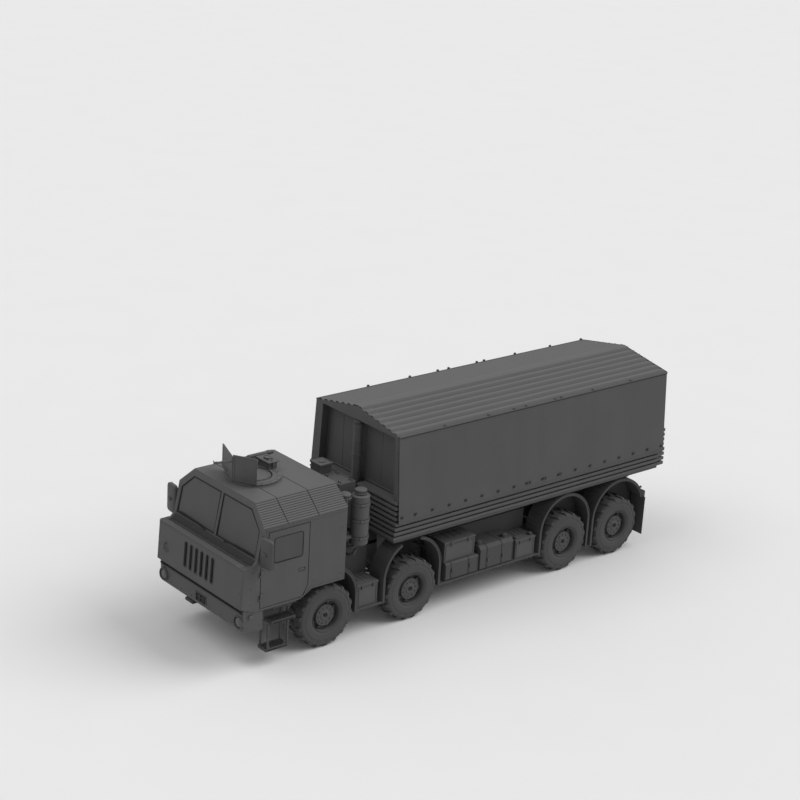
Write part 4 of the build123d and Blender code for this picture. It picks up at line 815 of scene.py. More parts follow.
fittings, eave_shadow, drips = Kit(), Kit(), Kit()
for hand, sign in SIDES:
    eyelet = Kit()
    eyelet.add_lathe(
        (sign * (wall_x(2.18) + 0.001), 0, 2.18), (sign, 0, 0.07),
        [(0.014, -0.004), (0.016, 0.006), (0.022, 0.007), (0.029, 0.004), (0.031, -0.003)], 16
    )
    # dark disc inside each eyelet: painted shade seen through the hole
    hole = Kit()
    hole.add_lathe(
        (sign * (wall_x(2.18) + 0.001), 0, 2.18), (sign, 0, 0.07),
        [(0.0, 0.0078), (0.027, 0.0078), (0.029, -0.002)], 12
    )
    tongue = Kit()
    tongue.add_box(
        (min(sign * wall_x(2.2), sign * wall_x(2.2) + sign * 0.012), 0.030, 2.170),
        (max(sign * wall_x(2.2), sign * wall_x(2.2) + sign * 0.012), 0.058, 2.194), 0.004
    )
    runs = [("row", EYELET_Y[2], Vector((0, EYELET_Y[1], 0)), Vector((0, EYELET_Y[0], 0)))]
    runs += [("row", 1, Vector((0, 0, 0)), Vector((0, A1 + y, 0))) for y in EXTRA_Y]
    adopt(f"hem_eyelets_{hand}", repeated(eyelet, runs, trim), "bed", trim)
    adopt(f"hem_holes_{hand}", repeated(hole, runs, seal_and_painted_shade), "bed", seal_and_painted_shade)
    adopt(f"hem_tongues_{hand}", repeated(tongue, runs, trim), "bed", trim)
    for y in EAVE_LEFT if sign > 0 else EAVE_RIGHT:
        y = A1 + y
        fittings.add_box(
            (sign * 1.196 - 0.012, y - 0.028, 3.700), (sign * 1.196 + 0.012, y + 0.028, 3.736),
            0.005
        )
        fittings.add_rod(
            (sign * 1.200, y - 0.018, 3.730), (sign * 1.200, y + 0.018, 3.730), 0.013, 10
        )
    # hem, drip moulding, and a dark strip under the moulding as painted shadow
    edge = [
        (sign * (wall_x(2.075) + 0.001), y, 2.075) for y in (TARP_Y[0] + 0.01, TARP_Y[1] - 0.01)
    ]
    drips.add_trim(edge, (sign, 0, 0.07), 0.028, 0.004, closed=False)
    edge = [
        (sign * (wall_x(3.690) + 0.002), y, 3.690) for y in (TARP_Y[0] + 0.002, TARP_Y[1] - 0.002)
    ]
    drips.add_trim(edge, (sign, 0, 0.07), 0.030, 0.010, closed=False)
    edge = [
        (sign * (wall_x(3.668) + 0.001), y, 3.668) for y in (TARP_Y[0] + 0.002, TARP_Y[1] - 0.002)
    ]
    eave_shadow.add_trim(edge, (sign, 0, 0.07), 0.012, 0.002, closed=False)
    # front edge of the cover, doubled over the headboard
    edge = [(sign * (wall_x(z) + 0.001), TARP_Y[0] + 0.022, z) for z in (2.09, 3.67)]
    drips.add_trim(edge, (sign, 0, 0.07), 0.040, 0.004, closed=False)
fittings.finish("tarp_fittings", "bed", "fittings", trim)
eave_shadow.finish("eave_line", "bed", "tarpaulin", seal_and_painted_shade)
drips.finish("tarp_edges", "bed", "tarpaulin", canvas)
print("eyelets", EYELET_Y[2] + len(EXTRA_Y), "on each side")

# %% [markdown]
# ## Windscreen, cowl and front panel
# Both panes sit in thin dark seals. Below them a louvred cowl fills the slope and the
# ledge between cab and front panel, over dark plates that paint the shade beneath it.
# Behind the slots stands a finned dark core.


# %% Seals, cowl louvres and slots
def screen_point(x, z, lift=0.0):
    """Point on the windscreen's plane, raised off it by lift."""
    return Vector((x, A1 - 1.597 + (z - 2.104) * 0.177 - lift, z + lift * 0.177))


SCREEN_OUT = Vector((0, -1, 0.177))
seals_and_shadow, slats, shade_and_core = Kit(), Kit(), Kit()
PANE = [(0.042, 2.124), (1.188, 2.124), (1.173, 2.592), (0.868, 2.874), (0.042, 2.874)]
for sign in (1, -1):
    seals_and_shadow.add_trim([screen_point(sign * x, z) for x, z in PANE], SCREEN_OUT, 0.026, 0.012)
    # wiper: pivot, arm and blade parked along the foot of the pane
    seals_and_shadow.add_disc(screen_point(sign * 0.30, 2.098, 0.0), SCREEN_OUT, 0.020, 0.030, 12)
    seals_and_shadow.add_pipe(
        [
            screen_point(sign * 0.30, 2.100, 0.028), screen_point(sign * 0.45, 2.128, 0.034),
            screen_point(sign * 0.98, 2.150, 0.022)
        ],
        0.007, 6
    )
    seals_and_shadow.add_pipe(
        [screen_point(sign * 0.60, 2.137, 0.016), screen_point(sign * 1.12, 2.151, 0.016)], 0.008, 6
    )
    seals_and_shadow.add_rod(
        screen_point(sign * 0.97, 2.147, 0.012), screen_point(sign * 0.97, 2.152, 0.030), 0.010, 8
    )
for k in range(6):
    t = (k + 0.4) / 6
    slats.add_box(
        (-1.215, A1 - 1.706 + 0.080 * t, 2.017 + 0.079 * t),
        (1.215, A1 - 1.694 + 0.080 * t, 2.024 + 0.079 * t), 0.003
    )
for k in range(5):
    slats.add_box(
        (-1.184, A1 - 1.781 + 0.017 * k, 1.998), (1.184, A1 - 1.773 + 0.017 * k, 2.011), 0.002,
        Matrix.Rotation(radians(-25), 4, "X")
    )
# dark plates under the louvres: painted shade of the recess behind them
shade_and_core.add_plate(
    [
        (-1.186, A1 - 1.788, 1.990), (1.186, A1 - 1.788, 1.990), (1.186, A1 - 1.702, 1.990),
        (-1.186, A1 - 1.702, 1.990)
    ],
    (0, 0, 0.004), 0
)
shade_and_core.add_plate(
    [
        (-1.215, A1 - 1.703, 2.017), (1.215, A1 - 1.703, 2.017), (1.215, A1 - 1.624, 2.094),
        (-1.215, A1 - 1.624, 2.094)
    ],
    (0, -0.003, 0.003), 0
)
# painted highlight: a lighter cap on the ledge in front of the cowl; below, a dark strip paints the
# shadow in the gap under the panel
ledge = Kit()
ledge.add_plate(
    [
        (-1.190, A1 - 1.912, 2.0155), (1.190, A1 - 1.912, 2.0155), (1.190, A1 - 1.796, 2.0155),
        (-1.190, A1 - 1.796, 2.0155)
    ],
    (0, 0, 0.003), 0
)
ledge.finish("panel_ledge", "chassis", "body_paint", ledge_painted_highlight)
# dark strip under the panel's foot: painted shadow
shade_and_core.add_trim(
    [(-1.250, A1 - 1.890, 1.192), (1.250, A1 - 1.890, 1.192)], (0, -1, 0), 0.026, 0.020,
    closed=False
)
# core behind the slots: a dark plate and its fins
shade_and_core.add_plate(
    [
        (-0.52, A1 - 1.872, 1.40), (0.52, A1 - 1.872, 1.40), (0.52, A1 - 1.850, 1.93),
        (-0.52, A1 - 1.850, 1.93)
    ],
    (0, 0.01, 0), 0
)
fin = Kit()
fin.add_box((-0.51, -0.009, -0.004), (0.51, 0.003, 0.004), sharp=True)
adopt(
    "slot_fins",
    repeated(fin, [("row", 17, Vector((0, 0.0013, 0.030)), Vector((0, A1 - 1.874, 1.420)))], seal_and_painted_shade),
    "chassis", seal_and_painted_shade
)


def panel_y(z):
    """Y of the front panel's face at height z."""
    return A1 - 1.918 - 0.042 * (2.015 - z) / 0.731


rims = Kit()
for k in range(6):
    x = (k - 2.5) * 0.163
    edge = [
        Vector((p.x, panel_y(p.z), p.z))
        for p in rounded_outline((x, 0, 1.665), (1, 0, 0), (0, 0, 1), 0.094, 0.494, 0.046, 6)
    ]
    rims.add_trim(edge, (0, -1, 0), 0.012, 0.006)
# fixed hook on the panel's right, corner bolts, tow pin frame
x = -1.03
rims.add_pipe(
    [
        (x, panel_y(1.66) + 0.004, 1.66), (x, panel_y(1.66) - 0.034, 1.655),
        (x, panel_y(1.53) - 0.040, 1.535), (x + 0.05, panel_y(1.52) - 0.036, 1.520),
        (x + 0.09, panel_y(1.54) + 0.004, 1.540)
    ],
    0.011, 8
)
for z in (1.66,):
    rims.add_disc((x, panel_y(z) + 0.003, z), (0, -1, 0), 0.026, 0.010, 16)
for side_x in (-1.225, 1.225):
    rims.add_bolts(
        [(side_x, panel_y(z), z) for z in (1.345, 1.56, 1.78, 1.975)], (0, -1, 0), 0.009, 0.007
    )
    rims.add_bolts(
        [(side_x * 1.0585, A1 - 1.74, z) for z in (1.33, 1.62, 1.92)], (side_x, 0, 0), 0.010, 0.008
    )
# dark strip along the panel's foot: painted shadow under the panel's overhang
seals_and_shadow.add_trim(
    [(-1.276, A1 - 1.8805, 1.238), (1.276, A1 - 1.8805, 1.238)], (0, -1, 0), 0.036, 0.003,
    closed=False
)
rims.add_trim(
    [(-1.262, panel_y(1.985), 1.985), (1.262, panel_y(1.985), 1.985)], (0, -1, 0), 0.010, 0.004,
    closed=False
)
seals_and_shadow.finish("screen_seals", "chassis", "rubber", seal_and_painted_shade)
slats.finish("cowl_slats", "chassis", "plastic", trim)
shade_and_core.finish("cowl_backing", "chassis", "plastic", dark)
rims.finish("panel_trim", "chassis", "body_paint", body_paint)
print("windscreen and panel dressed")

# %% [markdown]
# ## Lamps and bumper
# Each headlamp is a deep ring, a dark disc that paints the shade in its gap, and a stepped
# lens. The towing recess gets its lugs and pin and a dark back that paints its shade, and the
# bumper its seams and bolts.

# %% Headlamps, markers and towing recess
rings, gap_shade, lenses, fitting = Kit(), Kit(), Kit(), Kit()
FACE = A1 - 1.872
for sign in (1, -1):
    at = (sign * 1.156, FACE, 0.985)
    rings.add_lathe(
        at, (0, -1, 0),
        [
            (0.120, -0.004), (0.120, 0.016), (0.116, 0.040), (0.111, 0.045), (0.107, 0.042),
            (0.106, 0.034), (0.105, 0.008)
        ],
        40
    )
    # dark disc behind the lens: painted shade in the gap round it
    gap_shade.add_lathe(at, (0, -1, 0), [(0.0, 0.0155), (0.1045, 0.0155), (0.1045, 0.008)], 40)
    lenses.add_lathe(
        at, (0, -1, 0),
        [
            (0.086, 0.015), (0.086, 0.022), (0.078, 0.028), (0.060, 0.030), (0.058, 0.027),
            (0.038, 0.029), (0.036, 0.033), (0.014, 0.036), (0, 0.036)
        ],
        40
    )
    rings.add_bolts(
        [
            (at[0] + 0.111 * cos(a), FACE - 0.042, at[2] + 0.111 * sin(a))
            for a in (0.8, 2.4, 3.9, 5.5)
        ],
        (0, -1, 0), 0.006, 0.005
    )
    # marker lamp on the bumper's shoulder, and its side lamp
    lenses.add_box(
        (sign * 1.19 - 0.055, FACE - 0.030, 1.128), (sign * 1.19 + 0.055, FACE + 0.004, 1.156),
        0.010
    )
    rings.add_box(
        (sign * 1.19 - 0.062, FACE - 0.018, 1.118), (sign * 1.19 + 0.062, FACE + 0.006, 1.164),
        0.006
    )
    lenses.add_box(
        (sign * 1.306 - 0.016, FACE + 0.096, 1.086), (sign * 1.306 + 0.016, FACE + 0.164, 1.124),
        0.006
    )
    # towing lugs under the bumper
    fitting.add_plate(
        [
            (sign * 0.52 - 0.02, FACE + 0.10, 0.84), (sign * 0.52 - 0.02, FACE + 0.22, 0.84),
            (sign * 0.52 - 0.02, FACE + 0.20, 0.795), (sign * 0.52 - 0.02, FACE + 0.14, 0.785),
            (sign * 0.52 - 0.02, FACE + 0.11, 0.80)
        ],
        (0.04, 0, 0), 0.004
    )
    fitting.add_rod(
        (sign * 0.52 - 0.05, FACE + 0.150, 0.805), (sign * 0.52 + 0.05, FACE + 0.150, 0.805), 0.012,
        12
    )
    for x in (0.045, 0.085):
        fitting.add_box(
            (sign * x - 0.010, FACE - 0.004, 0.915), (sign * x + 0.010, FACE + 0.068, 1.015), 0.004
        )
    rings.add_bolts(
        [
            (sign * x, FACE - 0.002 - 0.008 * (z - 0.86) / 0.4, z) for x in (0.30, 0.62, 0.94)
            for z in (0.90, 1.19)
        ],
        (0, -1, 0), 0.010, 0.008
    )
    rings.add_bolts(
        [(sign * 1.281, FACE + y, z) for y in (0.06, 0.34) for z in (0.90, 1.20)], (sign, 0, 0),
        0.010, 0.008
    )
fitting.add_rod((-0.13, FACE + 0.026, 0.965), (0.13, FACE + 0.026, 0.965), 0.016, 14)
fitting.add_disc((0.13, FACE + 0.026, 0.965), (1, 0, 0), 0.026, 0.012, 14)
# dark back of the towing recess: painted shade
gap_shade.add_box((-0.149, FACE + 0.062, 0.891), (0.149, FACE + 0.069, 1.039), sharp=True)
rings.add_trim(
    [
        (-0.160, FACE - 0.004, 0.882), (0.160, FACE - 0.004, 0.882), (0.160, FACE - 0.006, 1.048),
        (-0.160, FACE - 0.006, 1.048)
    ],
    (0, -1, 0), 0.014, 0.008
)
rings.finish("lamp_rings", "chassis", "body_paint", body_paint)
gap_shade.finish("lamp_gaps", "chassis", "plastic", seal_and_painted_shade)
lenses.finish("lamp_lenses", "chassis", "lamp", lens)
fitting.finish("towing_lugs", "chassis", "chassis_paint", casting)
print("front end dressed")

# %% [markdown]
# ## Doors, mirrors and steps
# Door trim rides on its door. Each mirror housing is a crowned shell with its glass
# on the rear face. The treads carry serrated grating bars, made by `row`.

# %% Door window seals, locks and hinge caps
for hand, sign in SIDES:
    kit, metal = Kit(), Kit()
    kit.add_trim(
        rounded_outline(
            (sign * 1.277, A1 - 0.9625, 2.209), (0, 1, 0), (0, 0, 1), 0.613, 0.470, 0.056, 6
        ),
        (sign, 0, 0), 0.015, 0.006
    )
    kit.add_rod((sign * 1.279, A1 - 1.252, 1.985), (sign * 1.279, A1 - 0.673, 1.985), 0.004, 6)
    metal.add_disc((sign * 1.279, A1 - 0.572, 1.720), (sign, 0, 0), 0.017, 0.006, 16)
    metal.add_box(
        (min(sign * 1.262, sign * 1.277), A1 - 0.714, 1.697),
        (max(sign * 1.262, sign * 1.277), A1 - 0.606, 1.743), 0.006
    )
    metal.add_trim(
        rounded_outline(
            (sign * 1.280, A1 - 0.660, 1.720), (0, 1, 0), (0, 0, 1), 0.136, 0.076, 0.014, 3
        ),
        (sign, 0, 0), 0.010, 0.004
    )
    for z in (1.42, 1.86):
        metal.add_bolts(
            [(sign * 1.310, A1 - 1.49, z + 0.011 + d) for d in (-0.022, 0.022)], (sign, 0, 0),
            0.007, 0.006
        )
    # inner lining: armrest, pull and pocket on the inside
    x = sign * 1.219
    metal.add_box(
        (min(x, x - sign * 0.055), A1 - 1.22, 1.800), (max(x, x - sign * 0.055), A1 - 0.72, 1.850),
        0.014
    )
    metal.add_box(
        (min(x, x - sign * 0.030), A1 - 1.18, 1.420), (max(x, x - sign * 0.030), A1 - 0.80, 1.600),
        0.012
    )
    kit.finish(f"door_seal_{hand}", f"door_{hand}", "rubber", seal_and_painted_shade)
    metal.finish(f"door_trim_{hand}", f"door_{hand}", "fittings", body_paint)

# %% [markdown]
# ## Mirrors
# A driving mirror is a moulded shell round a pane. The shell is a skin through five
# rounded outlines of different size, which gives it a soft back. The shells replace the
# plain slabs, and bolted feet join their arms to the cab.

# %% Mirror shells and glass
shells, panes, brackets = Kit(), Kit(), Kit()
SWEEP = radians(5)
for sign in (1, -1):
    middle = Vector((sign * 1.441, A1 - 1.545, 2.280))
    across = Vector((cos(SWEEP), sign * sin(SWEEP), 0))
    ahead = Vector((sign * sin(SWEEP), -cos(SWEEP), 0))
    rings = []
    for out, shrink in (
        (-0.026, 0.004), (0.010, 0.0), (0.024, 0.006), (0.036, 0.022), (0.044, 0.050)
    ):
        outline = rounded_outline(
            middle + ahead * out, across, (0, 0, 1), 0.296 - 2 * shrink, 0.546 - 2 * shrink,
            0.064 - shrink * 0.6, 6
        )
        rings.append([shells.bm.verts.new(p) for p in outline])
    for lower, upper in zip(rings, rings[1:]):
        for k in range(len(lower)):
            n = (k + 1) % len(lower)
            shells.bm.faces.new((lower[k], lower[n], upper[n], upper[k]))
    shells.bm.faces.new(rings[-1])
    shells.bm.faces.new(rings[0])
    panes.add_plate(
        rounded_outline(middle - ahead * 0.0275, across, (0, 0, 1), 0.256, 0.506, 0.050, 5),
        -ahead * 0.004, 0.001
    )
    shells.add_trim(
        rounded_outline(middle - ahead * 0.027, across, (0, 0, 1), 0.274, 0.524, 0.058, 5), -ahead,
        0.020, 0.007
    )
    shells.add_box(
        middle + ahead * 0.030 - Vector((0.045, 0.045, 0.02)),
        middle + ahead * 0.040 + Vector((0.045, 0.045, 0.02)), 0.006,
        Matrix.Rotation(sign * SWEEP, 4, "Z")
    )
    for y, z in ((A1 - 1.535, 2.130), (A1 - 1.512, 2.480)):
        brackets.add_box(
            (min(sign * 1.272, sign * 1.300), y - 0.034, z - 0.045),
            (max(sign * 1.272, sign * 1.300), y + 0.034, z + 0.045), 0.006
        )
        brackets.add_bolts(
            [(sign * 1.300, y, z + d) for d in (-0.030, 0.030)], (sign, 0, 0), 0.008, 0.006
        )
        brackets.add_rod((sign * 1.278, y, z), (sign * 1.330, y, z), 0.016, 14)
housings = shells.finish("mirror_shells", "chassis", "plastic", trim)
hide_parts("mirrors")
panes.finish("mirror_panes", "chassis", "glass", mirror_glass)
brackets.finish("mirror_brackets", "chassis", "fittings", trim)

# %% [markdown]
# ## Steps
# Each tread is a dark plate under short bars, with a frame round it and gussets at its
# ends. Four boxes make one cross row of bars, and `row` repeats it along the step.

# %% Step gratings, frames and gussets
plates, edges = Kit(), Kit()
for sign in (1, -1):
    for low, high, top in ((A1 - 1.250, A1 - 0.740, 0.840), (A1 - 1.360, A1 - 0.880, 0.340)):
        x0, x1 = sorted((sign * 1.030, sign * 1.230))
        plates.add_box((x0, low + 0.022, top - 0.004), (x1, high - 0.022, top + 0.003), sharp=True)
        bar = Kit()
        for k in range(4):
            bar.add_box(
                (x0 + 0.010 + k * 0.050, -0.003, -0.004), (x0 + 0.034 + k * 0.050, 0.006, 0.010),
                sharp=True
            )
        count = int((high - low - 0.06) / 0.040)
        adopt(
            f"tread_bars_{'left' if sign > 0 else 'right'}_{round(top * 100)}",
            repeated(
                bar, [("row", count, Vector((0, 0.040, 0)), Vector((0, low + 0.040, top)))],
                chassis_paint
            ),
            "chassis", chassis_paint
        )
        edges.add_trim(
            [
                (sign * 1.021, low + 0.011, top), (sign * 1.239, low + 0.011, top),
                (sign * 1.239, high - 0.011, top), (sign * 1.021, high - 0.011, top)
            ],
            (0, 0, 1), 0.020, 0.014
        )
        plates.add_box(
            (sign * 1.251 - 0.003, low + 0.03, top - 0.034),
            (sign * 1.251 + 0.003, high - 0.03, top - 0.006), sharp=True
        )
    for y, way in ((A1 - 1.315, 1), (A1 - 0.925, -1)):
        x = sign * 1.222
        edges.add_plate(
            [
                (x, y, 0.338), (x, y + way * 0.075, 0.338), (x, y + way * 0.012, 0.430),
                (x, y, 0.430)
            ],
            (sign * 0.008, 0, 0), 0
        )
        edges.add_plate(
            [
                (x, y, 0.802), (x, y + way * 0.075, 0.802), (x, y + way * 0.012, 0.715),
                (x, y, 0.715)
            ],
            (sign * 0.008, 0, 0), 0
        )
    edges.add_bolts(
        [(sign * 1.252, y, 1.127) for y in (A1 - 1.20, A1 - 1.0, A1 - 0.79)], (sign, 0, 0), 0.010,
        0.008
    )
plates.finish("tread_plates", "chassis", "plastic", dark)
edges.finish("tread_frames", "chassis", "chassis_paint", chassis_paint)
print("doors, mirrors and steps dressed")

# %% [markdown]
# ## Roof ring, shield and roof box
# These pieces ride on the turning roof ring, so they turn with it. The weapon is left
# out: the tube on the shield is a plain rest.

# %% Shield borders, gussets, ring bolts and box fittings
shield, ringwork = Kit(), Kit()
APEX = Vector((0.030, A1 - 1.290, 0))
for far, low, high in (((-0.600, A1 - 1.060), 3.065, 3.505), ((0.415, A1 - 1.055), 3.065, 3.550)):
    far = Vector((*far, 0))
    along = (far - APEX).normalized()
    out = Vector((along.y, -along.x, 0))
    if out.y > 0:
        out = -out
    a, b = APEX + along * 0.022, far - along * 0.016
    for face in (1, -1):
        lift = out * (0.0072 * face)
        shield.add_trim(
            [
                a + lift + Vector((0, 0, low + 0.02)), b + lift + Vector((0, 0, low + 0.02)),
                b + lift + Vector((0, 0, high - 0.016)), a + lift + Vector((0, 0, high - 0.016))
            ],
            out * face, 0.026, 0.006
        )
    # brace behind the plate and its bolts
    foot = APEX + along * ((far - APEX).length * 0.55)
    back = -out
    shield.add_plate(
        [
            foot + back * 0.008 + Vector((0, 0, 3.07)), foot + back * 0.150 + Vector((0, 0, 3.07)),
            foot + back * 0.008 + Vector((0, 0, high - 0.10))
        ],
        along * 0.012, 0
    )
    shield.add_bolts(
        [
            foot + along * d + out * 0.0075 + Vector((0, 0, z)) for d in (-0.03, 0.03)
            for z in (3.14, 3.30)
        ],
        out, 0.010, 0.007
    )
# fork at the end of the rest tube
tip, root = Vector((-0.060, A1 - 1.630, 3.437)), Vector((0.030, A1 - 1.280, 3.437))
back = (root - tip).normalized()
cross = Vector((back.y, -back.x, 0))
for way in (1, -1):
    shield.add_pipe(
        [
            tip + back * 0.05, tip + back * 0.02 + cross * 0.022 * way,
            tip + cross * 0.026 * way + Vector((0, 0, 0.035))
        ],
        0.008, 8
    )
for d in (0.05, 0.16, 0.30):
    shield.add_lathe(
        tip + back * d, back, [(0.018, -0.012), (0.025, -0.010), (0.025, 0.010), (0.018, 0.012)], 14
    )
HATCH = Vector((-0.050, A1 - 0.800, 0))
for k in range(16):
    a = 2 * pi * k / 16 + 0.1
    ringwork.add_bolts(
        [HATCH + Vector((0.470 * cos(a), 0.470 * sin(a), 3.058))], (0, 0, 1), 0.011, 0.008
    )
ringwork.add_lathe(
    HATCH + Vector((0, 0, 3.058)), (0, 0, 1),
    [(0.440, 0.0), (0.438, 0.006), (0.428, 0.006), (0.426, 0.0)], 64
)
ringwork.add_lathe(
    HATCH + Vector((0, 0, 3.010)), (0, 0, 1),
    [(0.520, 0.0), (0.516, 0.010), (0.480, 0.014), (0.478, 0.0)], 64
)
# roof box: flared lid rim, latch, cleats, and the round bar beside it
box_top = 3.195
shield.add_trim(
    [
        (-0.421, A1 - 0.461, box_top - 0.012), (-0.049, A1 - 0.461, box_top - 0.012),
        (-0.049, A1 - 0.249, box_top - 0.012), (-0.421, A1 - 0.249, box_top - 0.012)
    ],
    (0, 0, 1), 0.026, 0.016
)
shield.add_box((-0.300, A1 - 0.400, box_top), (-0.200, A1 - 0.330, box_top + 0.030), 0.010)
shield.add_pipe(
    [
        (-0.180, A1 - 0.390, box_top), (-0.180, A1 - 0.390, box_top + 0.040),
        (-0.110, A1 - 0.350, box_top + 0.045), (-0.110, A1 - 0.350, box_top)
    ],
    0.010, 8
)
shield.add_disc((-0.345, A1 - 0.300, box_top), (0, 0, 1), 0.024, 0.020, 16)
shield.add_box((-0.052, A1 - 0.380, 3.105), (-0.040, A1 - 0.330, 3.175), 0.004)
shield.add_lathe(
    (-0.500, A1 - 0.600, 3.180), (0, 1, 0),
    [
        (0, 0), (0.034, 0.004), (0.040, 0.014), (0.040, 0.420), (0.046, 0.424), (0.046, 0.470),
        (0.040, 0.474), (0.038, 0.540), (0.026, 0.552), (0, 0.556)
    ],
    24
)
for y in (A1 - 0.47, A1 - 0.20):
    shield.add_box((-0.530, y - 0.016, 3.056), (-0.470, y + 0.016, 3.160), 0.006)
shield.finish("shield_details", "turret", "body_paint", roof_paint)
ringwork.finish("ring_details", "turret", "body_paint", roof_paint)
lid = Kit()
lid.add_lathe(
    HATCH + Vector((0, 0, 3.0535)), (0, 0, 1),
    [(0.300, 0.0), (0.296, 0.010), (0.270, 0.014), (0.262, 0.006), (0.12, 0.010), (0, 0.012)], 56
)
lid.add_pipe(
    [HATCH + Vector((-0.16, d, 3.060)) for d in (-0.07,)]
    + [
        HATCH + Vector((-0.16, -0.07, 3.092)), HATCH + Vector((-0.16, 0.07, 3.092)),
        HATCH + Vector((-0.16, 0.07, 3.060))
    ],
    0.009, 8
)
lid.finish("hatch_details", "hatch_lid", "body_paint", roof_paint)
print("roof gear dressed")

# %% [markdown]
# ## Behind the cab
# Clamp bands, the louvred intake caps, and the cabinet's grille, hinges and hoses.

# %% Air cleaner bands, caps and cabinet
tank, caps, dark_lines = Kit(), Kit(), Kit()
CLEANER, INTAKE = (1.000, A1 + 0.800), (1.000, A1 + 0.440)
for z in (1.880, 2.210, 2.520):
    tank.add_lathe(
        (*CLEANER, z), (0, 0, 1),
        [(0.172, -0.006), (0.181, -0.004), (0.181, 0.044), (0.172, 0.046)], 40
    )
    for edge in (-0.010, 0.050):
        dark_lines.add_lathe(
            (*CLEANER, z + edge), (0, 0, 1),
            [(0.166, -0.004), (0.1705, -0.004), (0.1705, 0.004), (0.166, 0.004)], 40
        )
    tank.add_box(
        (CLEANER[0] + 0.150, CLEANER[1] - 0.105, z + 0.002),
        (CLEANER[0] + 0.176, CLEANER[1] - 0.060, z + 0.038), 0.005
    )
tank.add_lathe(
    (*CLEANER, 2.680), (0, 0, 1),
    [(0.166, -0.004), (0.168, 0.004), (0.150, 0.022), (0.110, 0.030), (0.072, 0.032)], 40
)
tank.add_lathe(
    (*CLEANER, 1.780), (0, 0, -1),
    [(0.166, -0.004), (0.166, 0.004), (0.140, 0.030), (0.060, 0.040), (0.030, 0.060), (0, 0.062)],
    40
)
for (x, y), high, r in ((CLEANER, 2.790, 0.112), (INTAKE, 2.780, 0.110)):
    caps.add_lathe(
        (x, y, high), (0, 0, 1),
        [(r + 0.001, -0.012), (r, 0.004), (r - 0.020, 0.018), (0.03, 0.028), (0, 0.028)], 32
    )
    caps.add_lathe(
        (x, y, high - 0.060), (0, 0, 1),
        [(r, -0.004), (r + 0.012, -0.006), (r + 0.014, 0.004), (r, 0.010)], 32
    )
    # dark slots round the cap: painted shade of its louvre openings
    for k in range(18):
        a = 2 * pi * k / 18
        dark_lines.add_box(
            (x + (r + 0.001) * cos(a) - 0.005, y + (r + 0.001) * sin(a) - 0.005, high - 0.042),
            (x + (r + 0.001) * cos(a) + 0.005, y + (r + 0.001) * sin(a) + 0.005, high - 0.016),
            sharp=True
        )
for z in (1.62, 2.05, 2.45):
    caps.add_lathe(
        (*INTAKE, z), (0, 0, 1), [(0.060, -0.018), (0.066, -0.016), (0.066, 0.016), (0.060, 0.018)],
        24
    )
# cabinet: front louvres, corner posts, lifting eyes, lid rim
for k in range(15):
    z = 1.62 + 0.070 * k
    caps.add_box(
        (-0.150, A1 + 0.556, z), (0.650, A1 + 0.568, z + 0.030), 0.003,
        Matrix.Rotation(radians(24), 4, "X")
    )
    caps.add_box(
        (-0.150, A1 + 0.932, z), (0.650, A1 + 0.944, z + 0.030), 0.003,
        Matrix.Rotation(radians(-24), 4, "X")
    )
caps.add_trim(
    [
        (-0.168, A1 + 0.577, 2.8005), (0.668, A1 + 0.577, 2.8005), (0.668, A1 + 0.923, 2.8005),
        (-0.168, A1 + 0.923, 2.8005)
    ],
    (0, 0, 1), 0.026, 0.010
)
caps.add_trim(
    [
        (-0.178, A1 + 0.562, 2.988), (0.128, A1 + 0.562, 2.988), (0.128, A1 + 0.828, 2.988),
        (-0.178, A1 + 0.828, 2.988)
    ],
    (0, 0, 1), 0.022, 0.008
)
for x in (0.22, 0.60):
    for y in (A1 + 0.63, A1 + 0.87):
        caps.add_pipe(
            [
                (x - 0.03, y, 2.800), (x - 0.03, y, 2.835), (x + 0.03, y, 2.835),
                (x + 0.03, y, 2.800)
            ],
            0.008, 8
        )
caps.add_bolts(
    [(x, y, 2.801) for x in (-0.14, 0.30, 0.64) for y in (A1 + 0.60, A1 + 0.90)], (0, 0, 1), 0.009,
    0.007
)
caps.add_disc((-0.025, A1 + 0.695, 2.990), (0, 0, 1), 0.060, 0.014, 24)
# hoses between cabinet and air cleaner
for z, sag_down in ((1.70, 0.05), (1.56, 0.07)):
    caps.add_pipe(
        [
            (0.678, A1 + 0.66, z), (0.76, A1 + 0.66, z - sag_down * 0.6),
            (0.86, A1 + 0.70, z - sag_down), (0.93, A1 + 0.76, z - sag_down * 0.5),
            (0.95, A1 + 0.79, z + 0.06)
        ],
        0.026, 12
    )
tank.finish("cleaner_bands", "chassis", "body_paint", body_paint)
caps.finish("cabinet_details", "chassis", "body_paint", body_paint)
dark_lines.finish("cleaner_lines", "chassis", "plastic", seal_and_painted_shade)

# %% [markdown]
# ## Back of the cab
# Raised strips follow the edge of the rear wall, four ribs stand on it, and a frame marks
# a closed opening. The sides get a sill strip, an arch edge and a gutter over the door.

